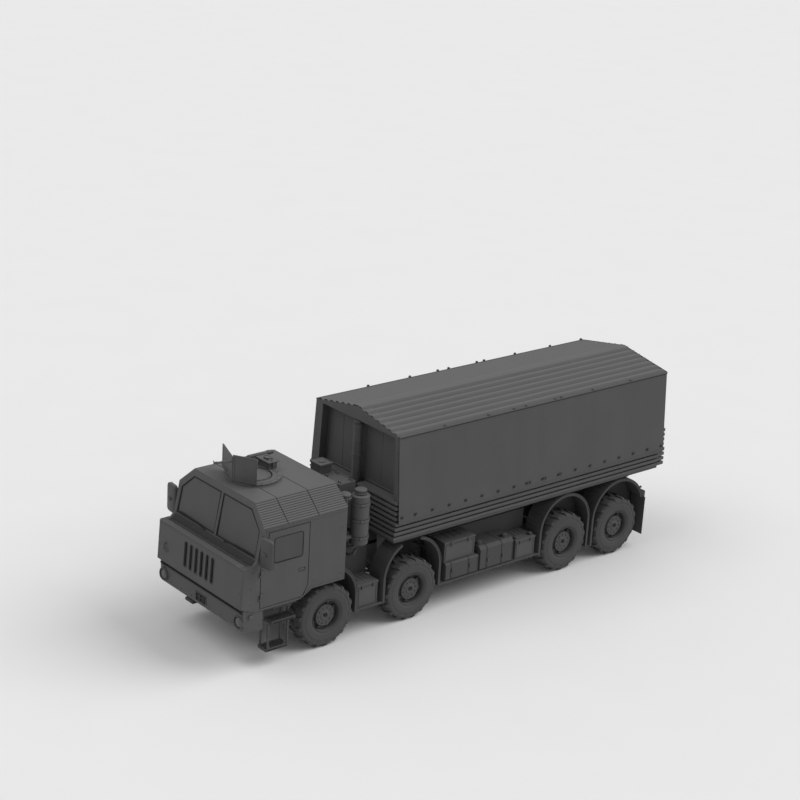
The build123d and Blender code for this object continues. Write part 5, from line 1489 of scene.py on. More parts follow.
# %% Cab back wall, roof edges and sill
wall = Kit()
BACK = A1 + 0.290
wall.add_trim(
    [
        (-1.16, BACK, 1.40), (1.16, BACK, 1.40), (1.16, BACK, 2.56), (0.84, BACK, 2.90),
        (-0.84, BACK, 2.90), (-1.16, BACK, 2.56)
    ],
    (0, 1, 0), 0.030, 0.010
)
for x in (-0.78, -0.26, 0.26, 0.78):
    wall.add_box((x - 0.018, BACK - 0.002, 1.46), (x + 0.018, BACK + 0.016, 2.80), 0.006)
wall.add_trim(
    rounded_outline((0, BACK, 2.30), (1, 0, 0), (0, 0, 1), 0.42, 0.30, 0.05), (0, 1, 0), 0.026,
    0.012
)
wall.add_bolts(
    [(x, BACK, z) for x in (-1.20, 1.20) for z in (1.45, 1.85, 2.25, 2.60)], (0, 1, 0), 0.010, 0.008
)
for sign in (1, -1):
    # sill strip, arch flange and gutter over the door
    wall.add_trim(
        [(sign * 1.280, A1 - 1.68, 1.170), (sign * 1.280, A1 - 0.70, 1.170)], (sign, 0, 0), 0.030,
        0.006, closed=False
    )
    wall.add_trim(
        [
            (sign * 1.281, A1 - 0.690, 1.165), (sign * 1.281, A1 - 0.645, 1.190),
            (sign * 1.281, A1 - 0.430, 1.312), (sign * 1.281, A1 + 0.280, 1.312)
        ],
        (sign, 0, 0), 0.026, 0.010, closed=False
    )
    wall.add_trim(
        [(sign * 1.2815, A1 - 1.44, 2.618), (sign * 1.2815, A1 + 0.285, 2.618)], (sign, 0, 0),
        0.020, 0.008, closed=False
    )
    wall.add_bolts(
        [(sign * 1.280, y, 2.30) for y in (A1 - 0.42, A1 + 0.20)]
        + [(sign * 1.280, y, 1.42) for y in (A1 - 0.36, A1 + 0.20)],
        (sign, 0, 0), 0.010, 0.008
    )
wall.finish("cab_trim", "chassis", "body_paint", body_paint)
print("cab back dressed")

# %% [markdown]
# ## Load body fittings
# The hoist head carries its stacked rings; the headboard its seams; the tailgate its
# latches. The hoist's rings ride on the hoist tube, so they tilt with it.

# %% Hoist head, headboard seams and tailgate
head, board, gate = Kit(), Kit(), Kit()
HOIST = (0.0, A1 + 1.490)
for z in (3.555, 3.575, 3.595, 3.615):
    head.add_lathe(
        (*HOIST, z), (0, 0, 1), [(0.086, -0.007), (0.094, -0.005), (0.094, 0.005), (0.086, 0.007)],
        32
    )
for z in (2.05, 2.35, 2.65, 3.24):
    head.add_lathe(
        (*HOIST, z), (0, 0, 1), [(0.085, -0.010), (0.090, -0.007), (0.090, 0.007), (0.085, 0.010)],
        32
    )
head.add_lathe(
    (*HOIST, 3.630), (0, 0, 1), [(0.085, -0.004), (0.083, 0.004), (0.070, 0.010), (0.0, 0.012)], 32
)
head.finish("hoist_rings", "hoist_tube", "body_paint", trim)
for sign in (1, -1):
    edge = 0.155 if sign > 0 else -0.155
    face_y = A1 + 1.610
    top_x, foot_x = (0.985, 1.130) if sign > 0 else (-0.985, -1.045)
    board.add_trim(
        [
            (edge, face_y, 2.515), (foot_x, face_y, 2.515), (top_x, face_y, 3.640),
            (edge, face_y, 3.640)
        ],
        (0, -1, 0), 0.034, 0.010
    )
    board.add_trim(
        [((edge + top_x) / 2, face_y, 2.54), ((edge + top_x) / 2, face_y, 3.62)], (0, -1, 0), 0.016,
        0.004, closed=False
    )
    board.add_bolts(
        [(edge + sign * 0.05, face_y - 0.001, z) for z in (2.62, 3.05, 3.50)], (0, -1, 0), 0.010,
        0.008
    )
    board.add_bolts(
        [(sign * (1.215 - (z - 2.5) * 0.07), A1 + 1.446, z) for z in (2.62, 3.00, 3.40)],
        (0, -1, 0), 0.010, 0.008
    )
board.finish("board_trim", "bed", "body_paint", body_paint)
REAR = A1 + 8.530
for sign in (1, -1):
    for z in (1.80, 2.20):
        gate.add_box(
            (sign * 1.06 - 0.045, REAR - 0.060, z - 0.075),
            (sign * 1.06 + 0.045, REAR + 0.006, z + 0.075), 0.010
        )
        gate.add_pipe(
            [
                (sign * 1.06, REAR + 0.004, z - 0.055), (sign * 1.06, REAR + 0.012, z),
                (sign * 1.06, REAR + 0.004, z + 0.055)
            ],
            0.010, 8
        )
    gate.add_box(
        (sign * 0.62 - 0.020, REAR - 0.075, 1.66), (sign * 0.62 + 0.020, REAR - 0.002, 2.44), 0.008
    )
    for z in (1.72, 2.38):
        gate.add_bolts([(sign * 0.62, REAR - 0.002, z)], (0, 1, 0), 0.012, 0.008)
    gate.add_pipe(
        [
            (sign * 0.30, REAR + 0.002, 1.78), (sign * 0.30, REAR + 0.014, 1.90),
            (sign * 0.10, REAR + 0.014, 1.90), (sign * 0.10, REAR + 0.002, 1.78)
        ],
        0.012, 8
    )
gate.finish("gate_latches", "tailgate", "body_paint", body_paint)
print("body fittings on")

# %% [markdown]
# ## Mudguards and running gear
# Pressed ribs run across every guard and an inner liner closes each rear arch. Under the
# frame hang brake chambers, spring clamps, dampers and the propeller shaft's joints.

# %% Guard ribs, liners and side covers
ribs, liners, lips = Kit(), Kit(), Kit()
GUARDS = [
    (A1, 0.850, 0.690, 4, 60), (A2 + 0.003, 0.950, 0.690, 4, 75),
    (A2 + 0.003, 0.950, 0.690, 117, 176), (A3 - 0.015, 0.945, 0.678, 4, 176),
    (A4 + 0.020, 0.880, 0.730, 20, 176)
]
for sign in (1, -1):
    for y, z, radius, start, end in GUARDS:
        for k in range(int((end - start) / 7) + 1):
            a = radians(start + 7 * k)
            spot = Vector(
                (sign * 0.982, y + (radius + 0.001) * cos(a), z + (radius + 0.001) * sin(a))
            )
            ribs.add_box(
                spot - Vector((0.196, 0.010, 0.007)), spot + Vector((0.196, 0.010, 0.007)), 0,
                Matrix.Rotation(a - pi / 2, 4, "X")
            )
        count = 24
        arc = [
            (
                y + (radius - 0.004) * cos(radians(start + (end - start) * k / count)),
                z + (radius - 0.004) * sin(radians(start + (end - start) * k / count))
            )
            for k in range(count + 1)
        ]
        lips.add_pipe([(sign * 1.187, u, v) for u, v in arc], 0.011, 8)
    for y, z, radius, start, end in GUARDS[3:]:
        arc = [
            (y + (radius - 0.012) * cos(radians(a)), z + (radius - 0.012) * sin(radians(a)))
            for a in range(max(start, 12), 170, 8)
        ]
        rear = arc[0][0] + (0.10 if start > 10 else 0.0)
        arc += [(arc[-1][0], 0.72), (rear, 0.72), (rear, arc[0][1] + 0.03)]
        if start > 10:
            liners.add_plate(
                [
                    (sign * 0.784, rear, 0.72), (sign * 1.180, rear, 0.72),
                    (sign * 1.180, rear, 1.190), (sign * 0.784, rear, 1.190)
                ],
                (0, -0.006, 0), 0
            )
            liners.add_plate(
                [
                    (sign * 0.784, y + 0.66, 1.150), (sign * 1.180, y + 0.66, 1.150),
                    (sign * 1.180, rear, 1.190), (sign * 0.784, rear, 1.190)
                ],
                (0, 0, 0.006), 0
            )
        liners.add_plate([(sign * 0.784, u, v) for u, v in arc], (sign * 0.006, 0, 0), 0)
    # cover plates over the frame above the boxes, and beside the hoist's foot
    for low, high, z0, z1 in (
        (A1 + 2.72, A1 + 3.56, 1.311, 1.340), (A1 + 3.56, A1 + 4.54, 1.031, 1.340),
        (A1 + 4.54, A1 + 5.18, 0.941, 1.340), (A1 + 0.70, A1 + 1.24, 0.991, 1.640)
    ):
        x = sign * 0.712
        liners.add_plate(
            [(x, low, z0), (x, high, z0), (x, high, z1), (x, low, z1)], (-sign * 0.008, 0, 0), 0
        )
        liners.add_box(
            (min(x, x + sign * 0.012), low, z1 - 0.024), (max(x, x + sign * 0.012), high, z1), 0.003
        )
ribs.finish("guard_ribs", "chassis", "rubber", rubber)
lips.finish("guard_lips", "chassis", "rubber", rubber)
liners.finish("frame_covers", "chassis", "chassis_paint", chassis_paint)

# %% [markdown]
# ## Boxes and tanks
# Boxes get a seam under the lid, latches, and ribs on top. Tanks get straps with dark
# edges, end rims and filler caps. All are thin pieces laid on the solids' faces.

# %% Stowage boxes, tanks and sills
locks, seams, straps = Kit(), Kit(), Kit()
BOXES = [
    (A1 + 0.720, A1 + 1.180, 0.540, 0.990, 1.150), (A1 + 2.790, A1 + 3.540, 0.904, 1.310, 1.120),
    (A1 + 4.590, A1 + 5.090, 0.540, 0.940, 1.165)
]
for sign in (1, -1):
    for low, high, z0, z1, face in BOXES:
        x = sign * (face + 0.001)
        seams.add_trim(
            [(x, low - 0.002, z1 - 0.042), (x, high + 0.002, z1 - 0.042)], (sign, 0, 0), 0.012,
            0.002, closed=False
        )
        straps.add_trim(
            [
                (sign * face, low + 0.03, z0 + 0.03), (sign * face, high - 0.03, z0 + 0.03),
                (sign * face, high - 0.03, z1 - 0.075), (sign * face, low + 0.03, z1 - 0.075)
            ],
            (sign, 0, 0), 0.018, 0.006
        )
        for share in (0.22, 0.78):
            y = low + (high - low) * share
            locks.add_box(
                (min(x, x + sign * 0.020), y - 0.020, z1 - 0.095),
                (max(x, x + sign * 0.020), y + 0.020, z1 - 0.012), 0.006
            )
            locks.add_rod(
                (x + sign * 0.018, y - 0.024, z1 - 0.030),
                (x + sign * 0.018, y + 0.024, z1 - 0.030), 0.007, 8
            )
            locks.add_box(
                (sign * (0.48 + 0.05) - 0.03, y - 0.05, z1),
                (sign * (0.48 + 0.05) + 0.03, y + 0.05, z1 + 0.010), 0.004
            )
        # lid ribs pressed into the top
        for share in (0.3, 0.5, 0.7):
            y = low + (high - low) * share
            straps.add_box(
                (sign * 0.80 - 0.20, y - 0.012, z1 - 0.002),
                (sign * 0.80 + 0.20, y + 0.012, z1 + 0.006), 0.004
            )
    for low, high, top, cut, hoops in (
        (A1 + 2.800, A1 + 3.620, 0.897, 0.030, (A1 + 2.960, A1 + 3.400)),
        (A1 + 3.660, A1 + 4.510, 1.030, 0.060, (A1 + 3.860, A1 + 4.240))
    ):
        for y in hoops:
            for edge in (-0.027, 0.027):
                seams.add_trim(
                    [(sign * 1.1755, y + edge, 0.572), (sign * 1.1755, y + edge, top - cut)],
                    (sign, 0, 0), 0.006, 0.003, closed=False
                )
            straps.add_bolts([(sign * 1.183, y, 0.60)], (sign, 0, 0), 0.012, 0.012)
            locks.add_box(
                (min(sign * 1.180, sign * 1.204), y - 0.018, 0.700),
                (max(sign * 1.180, sign * 1.204), y + 0.018, 0.770), 0.006
            )
        straps.add_trim(
            [(sign * 1.1750, low + 0.012, 0.575), (sign * 1.1750, low + 0.012, top - cut - 0.01)],
            (sign, 0, 0), 0.016, 0.006, closed=False
        )
        straps.add_trim(
            [(sign * 1.1750, high - 0.012, 0.575), (sign * 1.1750, high - 0.012, top - cut - 0.01)],
            (sign, 0, 0), 0.016, 0.006, closed=False
        )
    # filler caps: two on the tall tank, two on the rear box
    for y, z, r in (
        (A1 + 3.740, 1.072, 0.055), (A1 + 4.385, 1.072, 0.055), (A1 + 4.640, 0.940, 0.042),
        (A1 + 5.026, 0.940, 0.042)
    ):
        x = sign * 1.025 if z > 1 else sign * 1.085
        lift = 0.0 if z > 1 else 0.030
        if lift:
            straps.add_lathe((x, y, z), (0, 0, 1), [(r - 0.006, -0.002), (r - 0.006, lift)], 24)
        straps.add_lathe(
            (x, y, z + lift), (0, 0, 1),
            [
                (r - 0.006, -0.004), (r + 0.004, 0.000), (r + 0.004, 0.014), (r - 0.004, 0.020),
                (0.020, 0.022), (0.018, 0.028), (0, 0.028)
            ],
            24
        )
    for low, high in ((A1 + 0.692, A2 - 0.690), (A2 + 0.695, A3 - 0.695)):
        count = int((high - low) / 0.26)
        straps.add_bolts(
            [
                (sign * 1.185, low + 0.08 + (high - low - 0.16) * k / max(1, count), 0.520)
                for k in range(count + 1)
            ],
            (sign, 0, 0), 0.010, 0.008
        )
locks.finish("box_latches", "chassis", "fittings", trim)
seams.finish("box_seams", "chassis", "plastic", seal_and_painted_shade)
straps.finish("box_details", "chassis", "chassis_paint", chassis_paint)

# %% [markdown]
# ## Running gear
# From below one sees brake chambers, spring clamps, dampers, the bolted rings of the
# differentials, the joints of the shafts and the air tanks. The front brake chambers sit
# further in, because the wheels there swing when they steer.

# %% Axles, brakes, springs and shafts
gear, rods = Kit(), Kit()
for n, y in ((1, A1), (2, A2), (3, A3), (4, A4)):
    for sign in (1, -1):
        # brake chamber and its push rod behind the axle
        chamber_x = 0.56 if y > A2 + 1 else 0.46
        gear.add_lathe(
            (sign * chamber_x, y + 0.10, 0.665), (0, 1, 0),
            [
                (0, 0), (0.060, 0.004), (0.078, 0.020), (0.084, 0.055), (0.090, 0.060),
                (0.090, 0.072), (0.084, 0.077), (0.076, 0.120), (0.05, 0.138), (0, 0.140)
            ],
            24
        )
        rods.add_rod(
            (sign * chamber_x, y + 0.105, 0.665), (sign * chamber_x, y - 0.02, 0.665), 0.012, 8
        )
        gear.add_box(
            (sign * chamber_x - 0.030, y + 0.03, 0.600),
            (sign * chamber_x + 0.030, y + 0.105, 0.720), 0.008
        )
        # spring clamp plates and U-bolts
        top = 0.752 if n < 3 else 0.765
        for d in (-0.095, 0.095):
            rods.add_pipe(
                [
                    (sign * 0.345, y + d, 0.560), (sign * 0.345, y + d, top),
                    (sign * 0.435, y + d, top), (sign * 0.435, y + d, 0.560)
                ],
                0.011, 8
            )
        gear.add_box(
            (sign * 0.390 - 0.065, y - 0.125, 0.548), (sign * 0.390 + 0.065, y + 0.125, 0.572),
            0.006
        )
        # damper from axle to frame
        if n < 3:
            gear.add_rod(
                (sign * 0.485, y - 0.16, 0.600), (sign * 0.485, y - 0.20, 0.860), 0.036, 16
            )
            rods.add_rod(
                (sign * 0.485, y - 0.20, 0.850), (sign * 0.485, y - 0.225, 1.020), 0.016, 10
            )
            gear.add_box(
                (sign * 0.455 - 0.03, y - 0.25, 0.985), (sign * 0.455 + 0.03, y - 0.20, 1.055),
                0.006
            )
for y in (A3, A4):
    # differential: bolted flange rings and drain plug
    gear.add_lathe(
        (0, y, 0.6), (1, 0, 0), [(0.176, -0.020), (0.192, -0.018), (0.192, 0.018), (0.176, 0.020)],
        40
    )
    gear.add_bolts(
        [
            (0.020, y + 0.184 * cos(2 * pi * k / 14), 0.6 + 0.184 * sin(2 * pi * k / 14))
            for k in range(14)
        ],
        (1, 0, 0), 0.008, 0.008
    )
    gear.add_lathe(
        (0, y - 0.20, 0.6), (0, -1, 0),
        [(0.072, -0.05), (0.110, 0.0), (0.110, 0.016), (0.072, 0.020)], 24
    )
for start, end, z0, z1 in (
    (A1 + 0.85, A1 + 2.87, 0.860, 0.860), (A1 + 3.39, A3 - 0.232, 0.700, 0.600),
    (A3 + 0.175, A4 - 0.230, 0.600, 0.600)
):
    for y, z, way in ((start, z0, 1), (end, z1, -1)):
        gear.add_lathe(
            (0, y, z), (0, way, 0),
            [
                (0.045, -0.004), (0.082, -0.002), (0.082, 0.020), (0.060, 0.030), (0.060, 0.075),
                (0.045, 0.095)
            ],
            20
        )
# air tanks between the rails and pipe runs along them
for y in (A2 + 1.58, A2 + 1.86):
    gear.add_lathe(
        (-0.335, y, 0.800), (1, 0, 0),
        [
            (0, 0), (0.06, 0.006), (0.095, 0.030), (0.100, 0.060), (0.100, 0.61), (0.095, 0.64),
            (0.06, 0.664), (0, 0.670)
        ],
        24
    )
for sign in (1, -1):
    for z in (0.965, 1.000, 1.035):
        rods.add_rod((sign * 0.412, A1 - 1.60, z), (sign * 0.412, A4 + 0.70, z), 0.008, 6)
    gear.add_bolts(
        [(sign * 0.431, A1 + 1.70 + 0.42 * k, z) for k in range(15) for z in (0.945, 1.145)],
        (sign, 0, 0), 0.011, 0.009
    )
gear.finish("running_gear", "chassis", "castings", casting)
rods.finish("rods_and_pipes", "chassis", "castings", casting)

# %% [markdown]
# ## Rear end
# The rear beam carries a lamp block on each side, the towing jaw in the middle, and the
# stays that hold the mud flaps.

# %% Rear end: lamps, towing jaw, flap stays
back, red = Kit(), Kit()
TAIL = A4 + 0.800
for sign in (1, -1):
    back.add_trim(
        rounded_outline(
            (sign * 0.85, TAIL + 0.110, 0.995), (1, 0, 0), (0, 0, 1), 0.272, 0.112, 0.018, 4
        ),
        (0, 1, 0), 0.014, 0.010
    )
    for x in (0.765, 0.850, 0.935):
        red.add_lathe(
            (sign * x, TAIL + 0.1095, 0.995), (0, 1, 0),
            [
                (0.036, 0.0), (0.036, 0.008), (0.030, 0.012), (0.028, 0.009), (0.014, 0.011),
                (0, 0.013)
            ],
            24
        )
    back.add_box(
        (sign * 0.60 - 0.045, TAIL + 0.058, 0.950), (sign * 0.60 + 0.045, TAIL + 0.075, 1.040),
        0.006
    )
    back.add_rod((sign * 0.60, TAIL + 0.070, 0.995), (sign * 0.60, TAIL + 0.100, 0.995), 0.026, 16)
    # flap clamp strip and bolts, stay to the crossbar
    back.add_box(
        (sign * 1.05 - 0.190, TAIL - 0.064, 1.020), (sign * 1.05 + 0.190, TAIL - 0.044, 1.078),
        0.004
    )
    back.add_bolts(
        [(sign * 1.05 + d, TAIL - 0.046, 1.050) for d in (-0.16, -0.05, 0.05, 0.16)], (0, 1, 0),
        0.011, 0.009
    )
    back.add_box(
        (sign * 1.05 - 0.186, TAIL - 0.050, 0.290), (sign * 1.05 + 0.186, TAIL - 0.044, 0.330),
        0.003
    )
    back.add_pipe(
        [
            (sign * 0.98, TAIL + 0.03, 1.040), (sign * 1.06, TAIL - 0.02, 1.075),
            (sign * 1.10, TAIL - 0.055, 1.080)
        ],
        0.014, 8
    )
    # small bits on the rear guard
    back.add_box(
        (sign * 1.192 - 0.014, A4 + 0.700, 1.105), (sign * 1.192 + 0.014, A4 + 0.750, 1.175), 0.005
    )
    back.add_rod((sign * 1.15, A4 + 0.64, 1.290), (sign * 1.15, A4 + 0.69, 1.300), 0.022, 14)
    back.add_rod((sign * 0.36, TAIL - 0.197, 1.400), (sign * 0.445, TAIL - 0.197, 1.400), 0.050, 20)
back.add_lathe(
    (0, TAIL + 0.112, 0.995), (0, 1, 0), [(0.10, -0.004), (0.10, 0.012), (0.066, 0.018)], 28
)
back.add_rod((0, TAIL + 0.150, 0.875), (0, TAIL + 0.150, 1.130), 0.022, 16)
back.add_pipe(
    [
        (-0.03, TAIL + 0.150, 1.130), (-0.03, TAIL + 0.150, 1.165), (0.03, TAIL + 0.150, 1.165),
        (0.03, TAIL + 0.150, 1.130)
    ],
    0.007, 8
)
back.add_bolts(
    [(x, TAIL + 0.110, z) for x in (-0.10, 0.10) for z in (0.920, 1.070)], (0, 1, 0), 0.012, 0.010
)
back.finish("rear_fittings", "chassis", "chassis_paint", chassis_paint)
red.finish("tail_lenses", "chassis", "lamp", lens)
print("running gear and rear dressed")

# %% [markdown]
# ## Rear gable of the cover
# The gable gets its seams, a doubled hem with eyelets, and two hanging straps that
# would lash it down over the tailgate.

# %% Gable seams, hem and straps
cloths, buckles, holes = Kit(), Kit(), Kit()
GABLE = TARP_Y[1] - 0.001
for x in (-0.80, 0.0, 0.80):
    top = EAVE[1] + (RIDGE - EAVE[1]) * (1 - abs(x) / EAVE[0]) - 0.030
    cloths.add_trim(
        [(x, GABLE, GABLE_FOOT + 0.01), (x, GABLE, top)], (0, 1, 0), 0.030, 0.004, closed=False
    )
cloths.add_trim(
    [(-1.262, GABLE, GABLE_FOOT + 0.022), (1.262, GABLE, GABLE_FOOT + 0.022)], (0, 1, 0), 0.040,
    0.004, closed=False
)
cloths.add_trim(
    [(-1.198, GABLE, EAVE[1] - 0.01), (0, GABLE, RIDGE - 0.020), (1.198, GABLE, EAVE[1] - 0.01)],
    (0, 1, 0), 0.034, 0.005, closed=False
)
for x in (-0.45, 0.45):
    cloths.add_box((x - 0.025, GABLE + 0.001, 2.60), (x + 0.025, GABLE + 0.007, 3.30), 0.002)
    buckles.add_trim(
        [
            (x - 0.036, GABLE + 0.007, 2.92), (x + 0.036, GABLE + 0.007, 2.92),
            (x + 0.036, GABLE + 0.007, 2.975), (x - 0.036, GABLE + 0.007, 2.975)
        ],
        (0, 1, 0), 0.012, 0.008
    )
for k in range(13):
    x = -1.20 + 0.20 * k
    buckles.add_lathe(
        (x, GABLE + 0.003, GABLE_FOOT + 0.024), (0, 1, 0),
        [(0.012, -0.002), (0.014, 0.005), (0.019, 0.005), (0.022, 0.001)], 14
    )
    # dark disc inside each eyelet: painted shade seen through the hole
    holes.add_lathe(
        (x, GABLE + 0.003, GABLE_FOOT + 0.024), (0, 1, 0),
        [(0, 0.0025), (0.013, 0.0025), (0.013, 0)], 12
    )
cloths.add_box((-1.165, A1 + 8.322, 2.42), (1.165, A1 + 8.328, 2.62), 0.002)
cloths.finish("gable_seams", "bed", "tarpaulin", canvas)
buckles.finish("gable_eyelets", "bed", "fittings", trim)
holes.finish("gable_holes", "bed", "fittings", seal_and_painted_shade)
print("gable dressed")

# %% [markdown]
# ## Seats
# Each seat has a steel base and two padded cloth pads. A pad starts as a rounded block a
# little smaller than its solid, is remeshed, blown up by Blender's Cloth with inner
# pressure, and only then gets its sewn channels, so the channels stay sharp.

# %% Padded seat pads by cloth pressure
scene = bpy.context.scene
PAD_INSET = 0.012  # room left for the swelling
SWELL_CAP = 0.016  # furthest that pressure may move a point
VOXEL = 0.010
PRESSURE, STIFFNESS, LAST_FRAME = 4, 20, 20
CHANNEL_DEPTH, CHANNEL_WIDTH = 0.30, 0.020


def baked(piece):
    """Mesh of an object with its modifiers applied."""
    return bpy.data.meshes.new_from_object(
        piece.evaluated_get(bpy.context.evaluated_depsgraph_get())
    )


def padded_mesh(low, high):
    """Crowned closed pad inside a box."""
    block = Kit()
    inset = Vector((PAD_INSET, PAD_INSET, PAD_INSET))
    block.add_box(Vector(low) + inset, Vector(high) - inset, 0.034)
    start = bpy.data.meshes.new("pad")
    bmesh.ops.recalc_face_normals(block.bm, faces=block.bm.faces)
    block.bm.to_mesh(start)
    block.bm.free()
    piece = bpy.data.objects.new("pad", start)
    scene.collection.objects.link(piece)
    remesh = piece.modifiers.new("remesh", "REMESH")
    remesh.mode = "VOXEL"
    remesh.voxel_size = VOXEL
    even = baked(piece)
    piece.modifiers.clear()
    piece.data = even
    rest = [vert.co.copy() for vert in even.vertices]
    cloth = piece.modifiers.new("cloth", "CLOTH")
    cloth.settings.quality = 5
    cloth.settings.use_pressure = True
    cloth.settings.uniform_pressure_force = PRESSURE
    cloth.settings.effector_weights.gravity = 0
    cloth.settings.tension_stiffness = cloth.settings.compression_stiffness = STIFFNESS
    cloth.point_cache.frame_start, cloth.point_cache.frame_end = 1, LAST_FRAME
    for frame_number in range(1, LAST_FRAME + 1):
        scene.frame_set(frame_number)
    blown = baked(piece)
    piece.modifiers.clear()
    for vert, swollen, before in zip(even.vertices, blown.vertices, rest):
        move = swollen.co - before
        vert.co = before + move * min(1.0, SWELL_CAP / max(move.length, 1e-6))
    scene.frame_set(1)
    return piece, even


def sew(mesh, lines, depth, width):
    """Press channels into a pad; a line has an axis, a place on it and the outward axis."""
    middle = sum((vert.co for vert in mesh.vertices), Vector()) / len(mesh.vertices)
    for vert in mesh.vertices:
        for axis, at, out in lines:
            gap = abs(vert.co[axis] - at)
            if gap < width:
                vert.co[out] += (middle[out] - vert.co[out]) * depth * (1 - gap / width) ** 2


def pad_piece(name, low, high, lines, copies):
    """Finish a pad, smooth it by one subdivision and stand a copy at each x."""
    source, mesh = padded_mesh(low, high)
    sew(mesh, lines, CHANNEL_DEPTH, CHANNEL_WIDTH)
    smooth = source.modifiers.new("smooth", "SUBSURF")
    smooth.levels = 1
    done = baked(source)
    bpy.data.objects.remove(source)
    done.shade_smooth()
    for hand, x in copies:
        own = done.copy()
        own.transform(Matrix.Translation((x, 0, 0)))
        pad = adopt(f"{name}_{hand}", own, "chassis", seat_cloth)
    print(name, "faces", len(done.polygons))


SEAT_X = 0.82
SEATS = (("left", SEAT_X), ("right", -SEAT_X))
cushion_lines = [(0, d, 2) for d in (-0.13, 0.13)] + [(1, A1 - 0.36, 2)]
back_lines = [(2, z, 1) for z in (1.90, 2.06, 2.22)] + [(0, d, 1) for d in (-0.15, 0.15)]
pad_piece("seat_cushion", (-0.26, A1 - 0.62, 1.675), (0.26, A1 - 0.10, 1.81), cushion_lines, SEATS)
pad_piece("seat_back", (-0.25, A1 - 0.10, 1.74), (0.25, A1 + 0.025, 2.37), back_lines, SEATS)
pad_piece("head_rest", (-0.14, A1 - 0.085, 2.38), (0.14, A1 + 0.015, 2.49), [(0, 0.0, 1)], SEATS)

# %% [markdown]
# ## Seat frames
# Under each seat are two steel plates with crossed legs between them, and thin flat belts
# lie on the pads.

# %% Seat bases, belts and piping
base, belt = Kit(), Kit()
for hand, x in SEATS:
    base.add_box((x - 0.18, A1 - 0.56, 1.340), (x + 0.18, A1 - 0.12, 1.380), 0.010)
    for side_x in (-0.15, 0.15):
        base.add_box(
            (x + side_x - 0.018, A1 - 0.54, 1.378), (x + side_x + 0.018, A1 - 0.14, 1.402), 0.005
        )
        base.add_pipe([(x + side_x, A1 - 0.50, 1.40), (x + side_x, A1 - 0.20, 1.64)], 0.016, 10)
        base.add_pipe([(x + side_x, A1 - 0.20, 1.40), (x + side_x, A1 - 0.50, 1.64)], 0.016, 10)
        base.add_rod(
            (x + side_x * 0.4, A1 - 0.035, 2.35), (x + side_x * 0.4, A1 - 0.035, 2.40), 0.009, 10
        )
    base.add_box((x - 0.20, A1 - 0.58, 1.640), (x + 0.20, A1 - 0.10, 1.676), 0.010)
    base.add_box((x - 0.21, A1 - 0.005, 1.64), (x + 0.21, A1 + 0.028, 1.78), 0.010)
    base.add_pipe(
        [(x + 0.255, A1 - 0.30, 1.66), (x + 0.275, A1 - 0.30, 1.60), (x + 0.275, A1 - 0.44, 1.60)],
        0.010, 8
    )
    belt.add_box((x - 0.215, A1 - 0.122, 1.82), (x - 0.168, A1 - 0.118, 2.33), 0.001)
    belt.add_box((x + 0.150, A1 - 0.40, 1.822), (x + 0.200, A1 - 0.12, 1.826), 0.001)
seat_base = base.finish("seat_bases", "chassis", "seat", chassis_paint)
belt.finish("seat_belts", "chassis", "seat", canvas)
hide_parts("seats")

# %% [markdown]
# ## Driver's place
# Behind the panes are the dial hood, four vents, the wheel's hub with its column lever,
# three pedals and the gear lever.

# %% Dashboard, wheel and pedals
panel, dials = Kit(), Kit()
panel.add_box((0.58, A1 - 1.56, 1.995), (1.06, A1 - 1.37, 2.075), 0.020)
for x in (0.68, 0.82, 0.96):
    panel.add_lathe(
        (x, A1 - 1.372, 2.035), (0, 1, 0),
        [(0.036, -0.004), (0.036, 0.010), (0.030, 0.010), (0.029, 0.004)], 28
    )
    dials.add_lathe((x, A1 - 1.372, 2.035), (0, 1, 0), [(0.029, 0.003), (0, 0.003)], 28)
for x in (-0.95, -0.55, -0.15, 0.25):
    panel.add_trim(
        rounded_outline((x, A1 - 1.335, 1.977), (1, 0, 0), (0, 0.83, -0.55), 0.24, 0.070, 0.012, 3),
        (0, 0.55, 0.83), 0.012, 0.006
    )
    for k in range(5):
        panel.add_box(
            (x - 0.10 + 0.045 * k, A1 - 1.345, 1.974), (x - 0.072 + 0.045 * k, A1 - 1.322, 1.990),
            0.004
        )
HUB, LEAN = Vector((0.82, A1 - 1.140, 2.100)), Vector((0, -0.5, -0.8)).normalized()
panel.add_lathe(
    HUB - LEAN * 0.020, -LEAN, [(0.075, -0.030), (0.070, 0.004), (0.050, 0.018), (0, 0.022)], 28
)
panel.add_pipe(
    [HUB + Vector((-0.06, 0, 0)) + LEAN * 0.14, HUB + Vector((-0.22, 0.02, 0.02)) + LEAN * 0.12],
    0.010, 8
)
for x, wide in ((0.70, 0.035), (0.82, 0.045), (0.94, 0.028)):
    panel.add_box(
        (x - wide, A1 - 1.52, 1.400), (x + wide, A1 - 1.50, 1.500), 0.006,
        Matrix.Rotation(radians(-30), 4, "X")
    )
    panel.add_pipe([(x, A1 - 1.53, 1.45), (x, A1 - 1.60, 1.56), (x, A1 - 1.62, 1.69)], 0.010, 8)
panel.add_box((0.16, A1 - 1.10, 1.570), (0.36, A1 - 0.78, 1.620), 0.020)
panel.add_pipe([(0.26, A1 - 0.95, 1.61), (0.27, A1 - 0.97, 1.82)], 0.011, 10)
panel.add_lathe(
    (0.27, A1 - 0.972, 1.82), (0, 0, 1),
    [(0.014, -0.004), (0.028, 0.016), (0.028, 0.030), (0.016, 0.046), (0, 0.050)], 20
)
panel.finish("dash_details", "chassis", "plastic", trim)
dials.finish("dash_dials", "chassis", "glass", mirror_glass)
print("cab interior dressed")

# %% [markdown]
# ## Stage, light and camera
# Two wide distant lamps and an even sky give soft light. The sky that lights the truck is
# weaker than the one that the camera sees, so the backdrop stays pale.

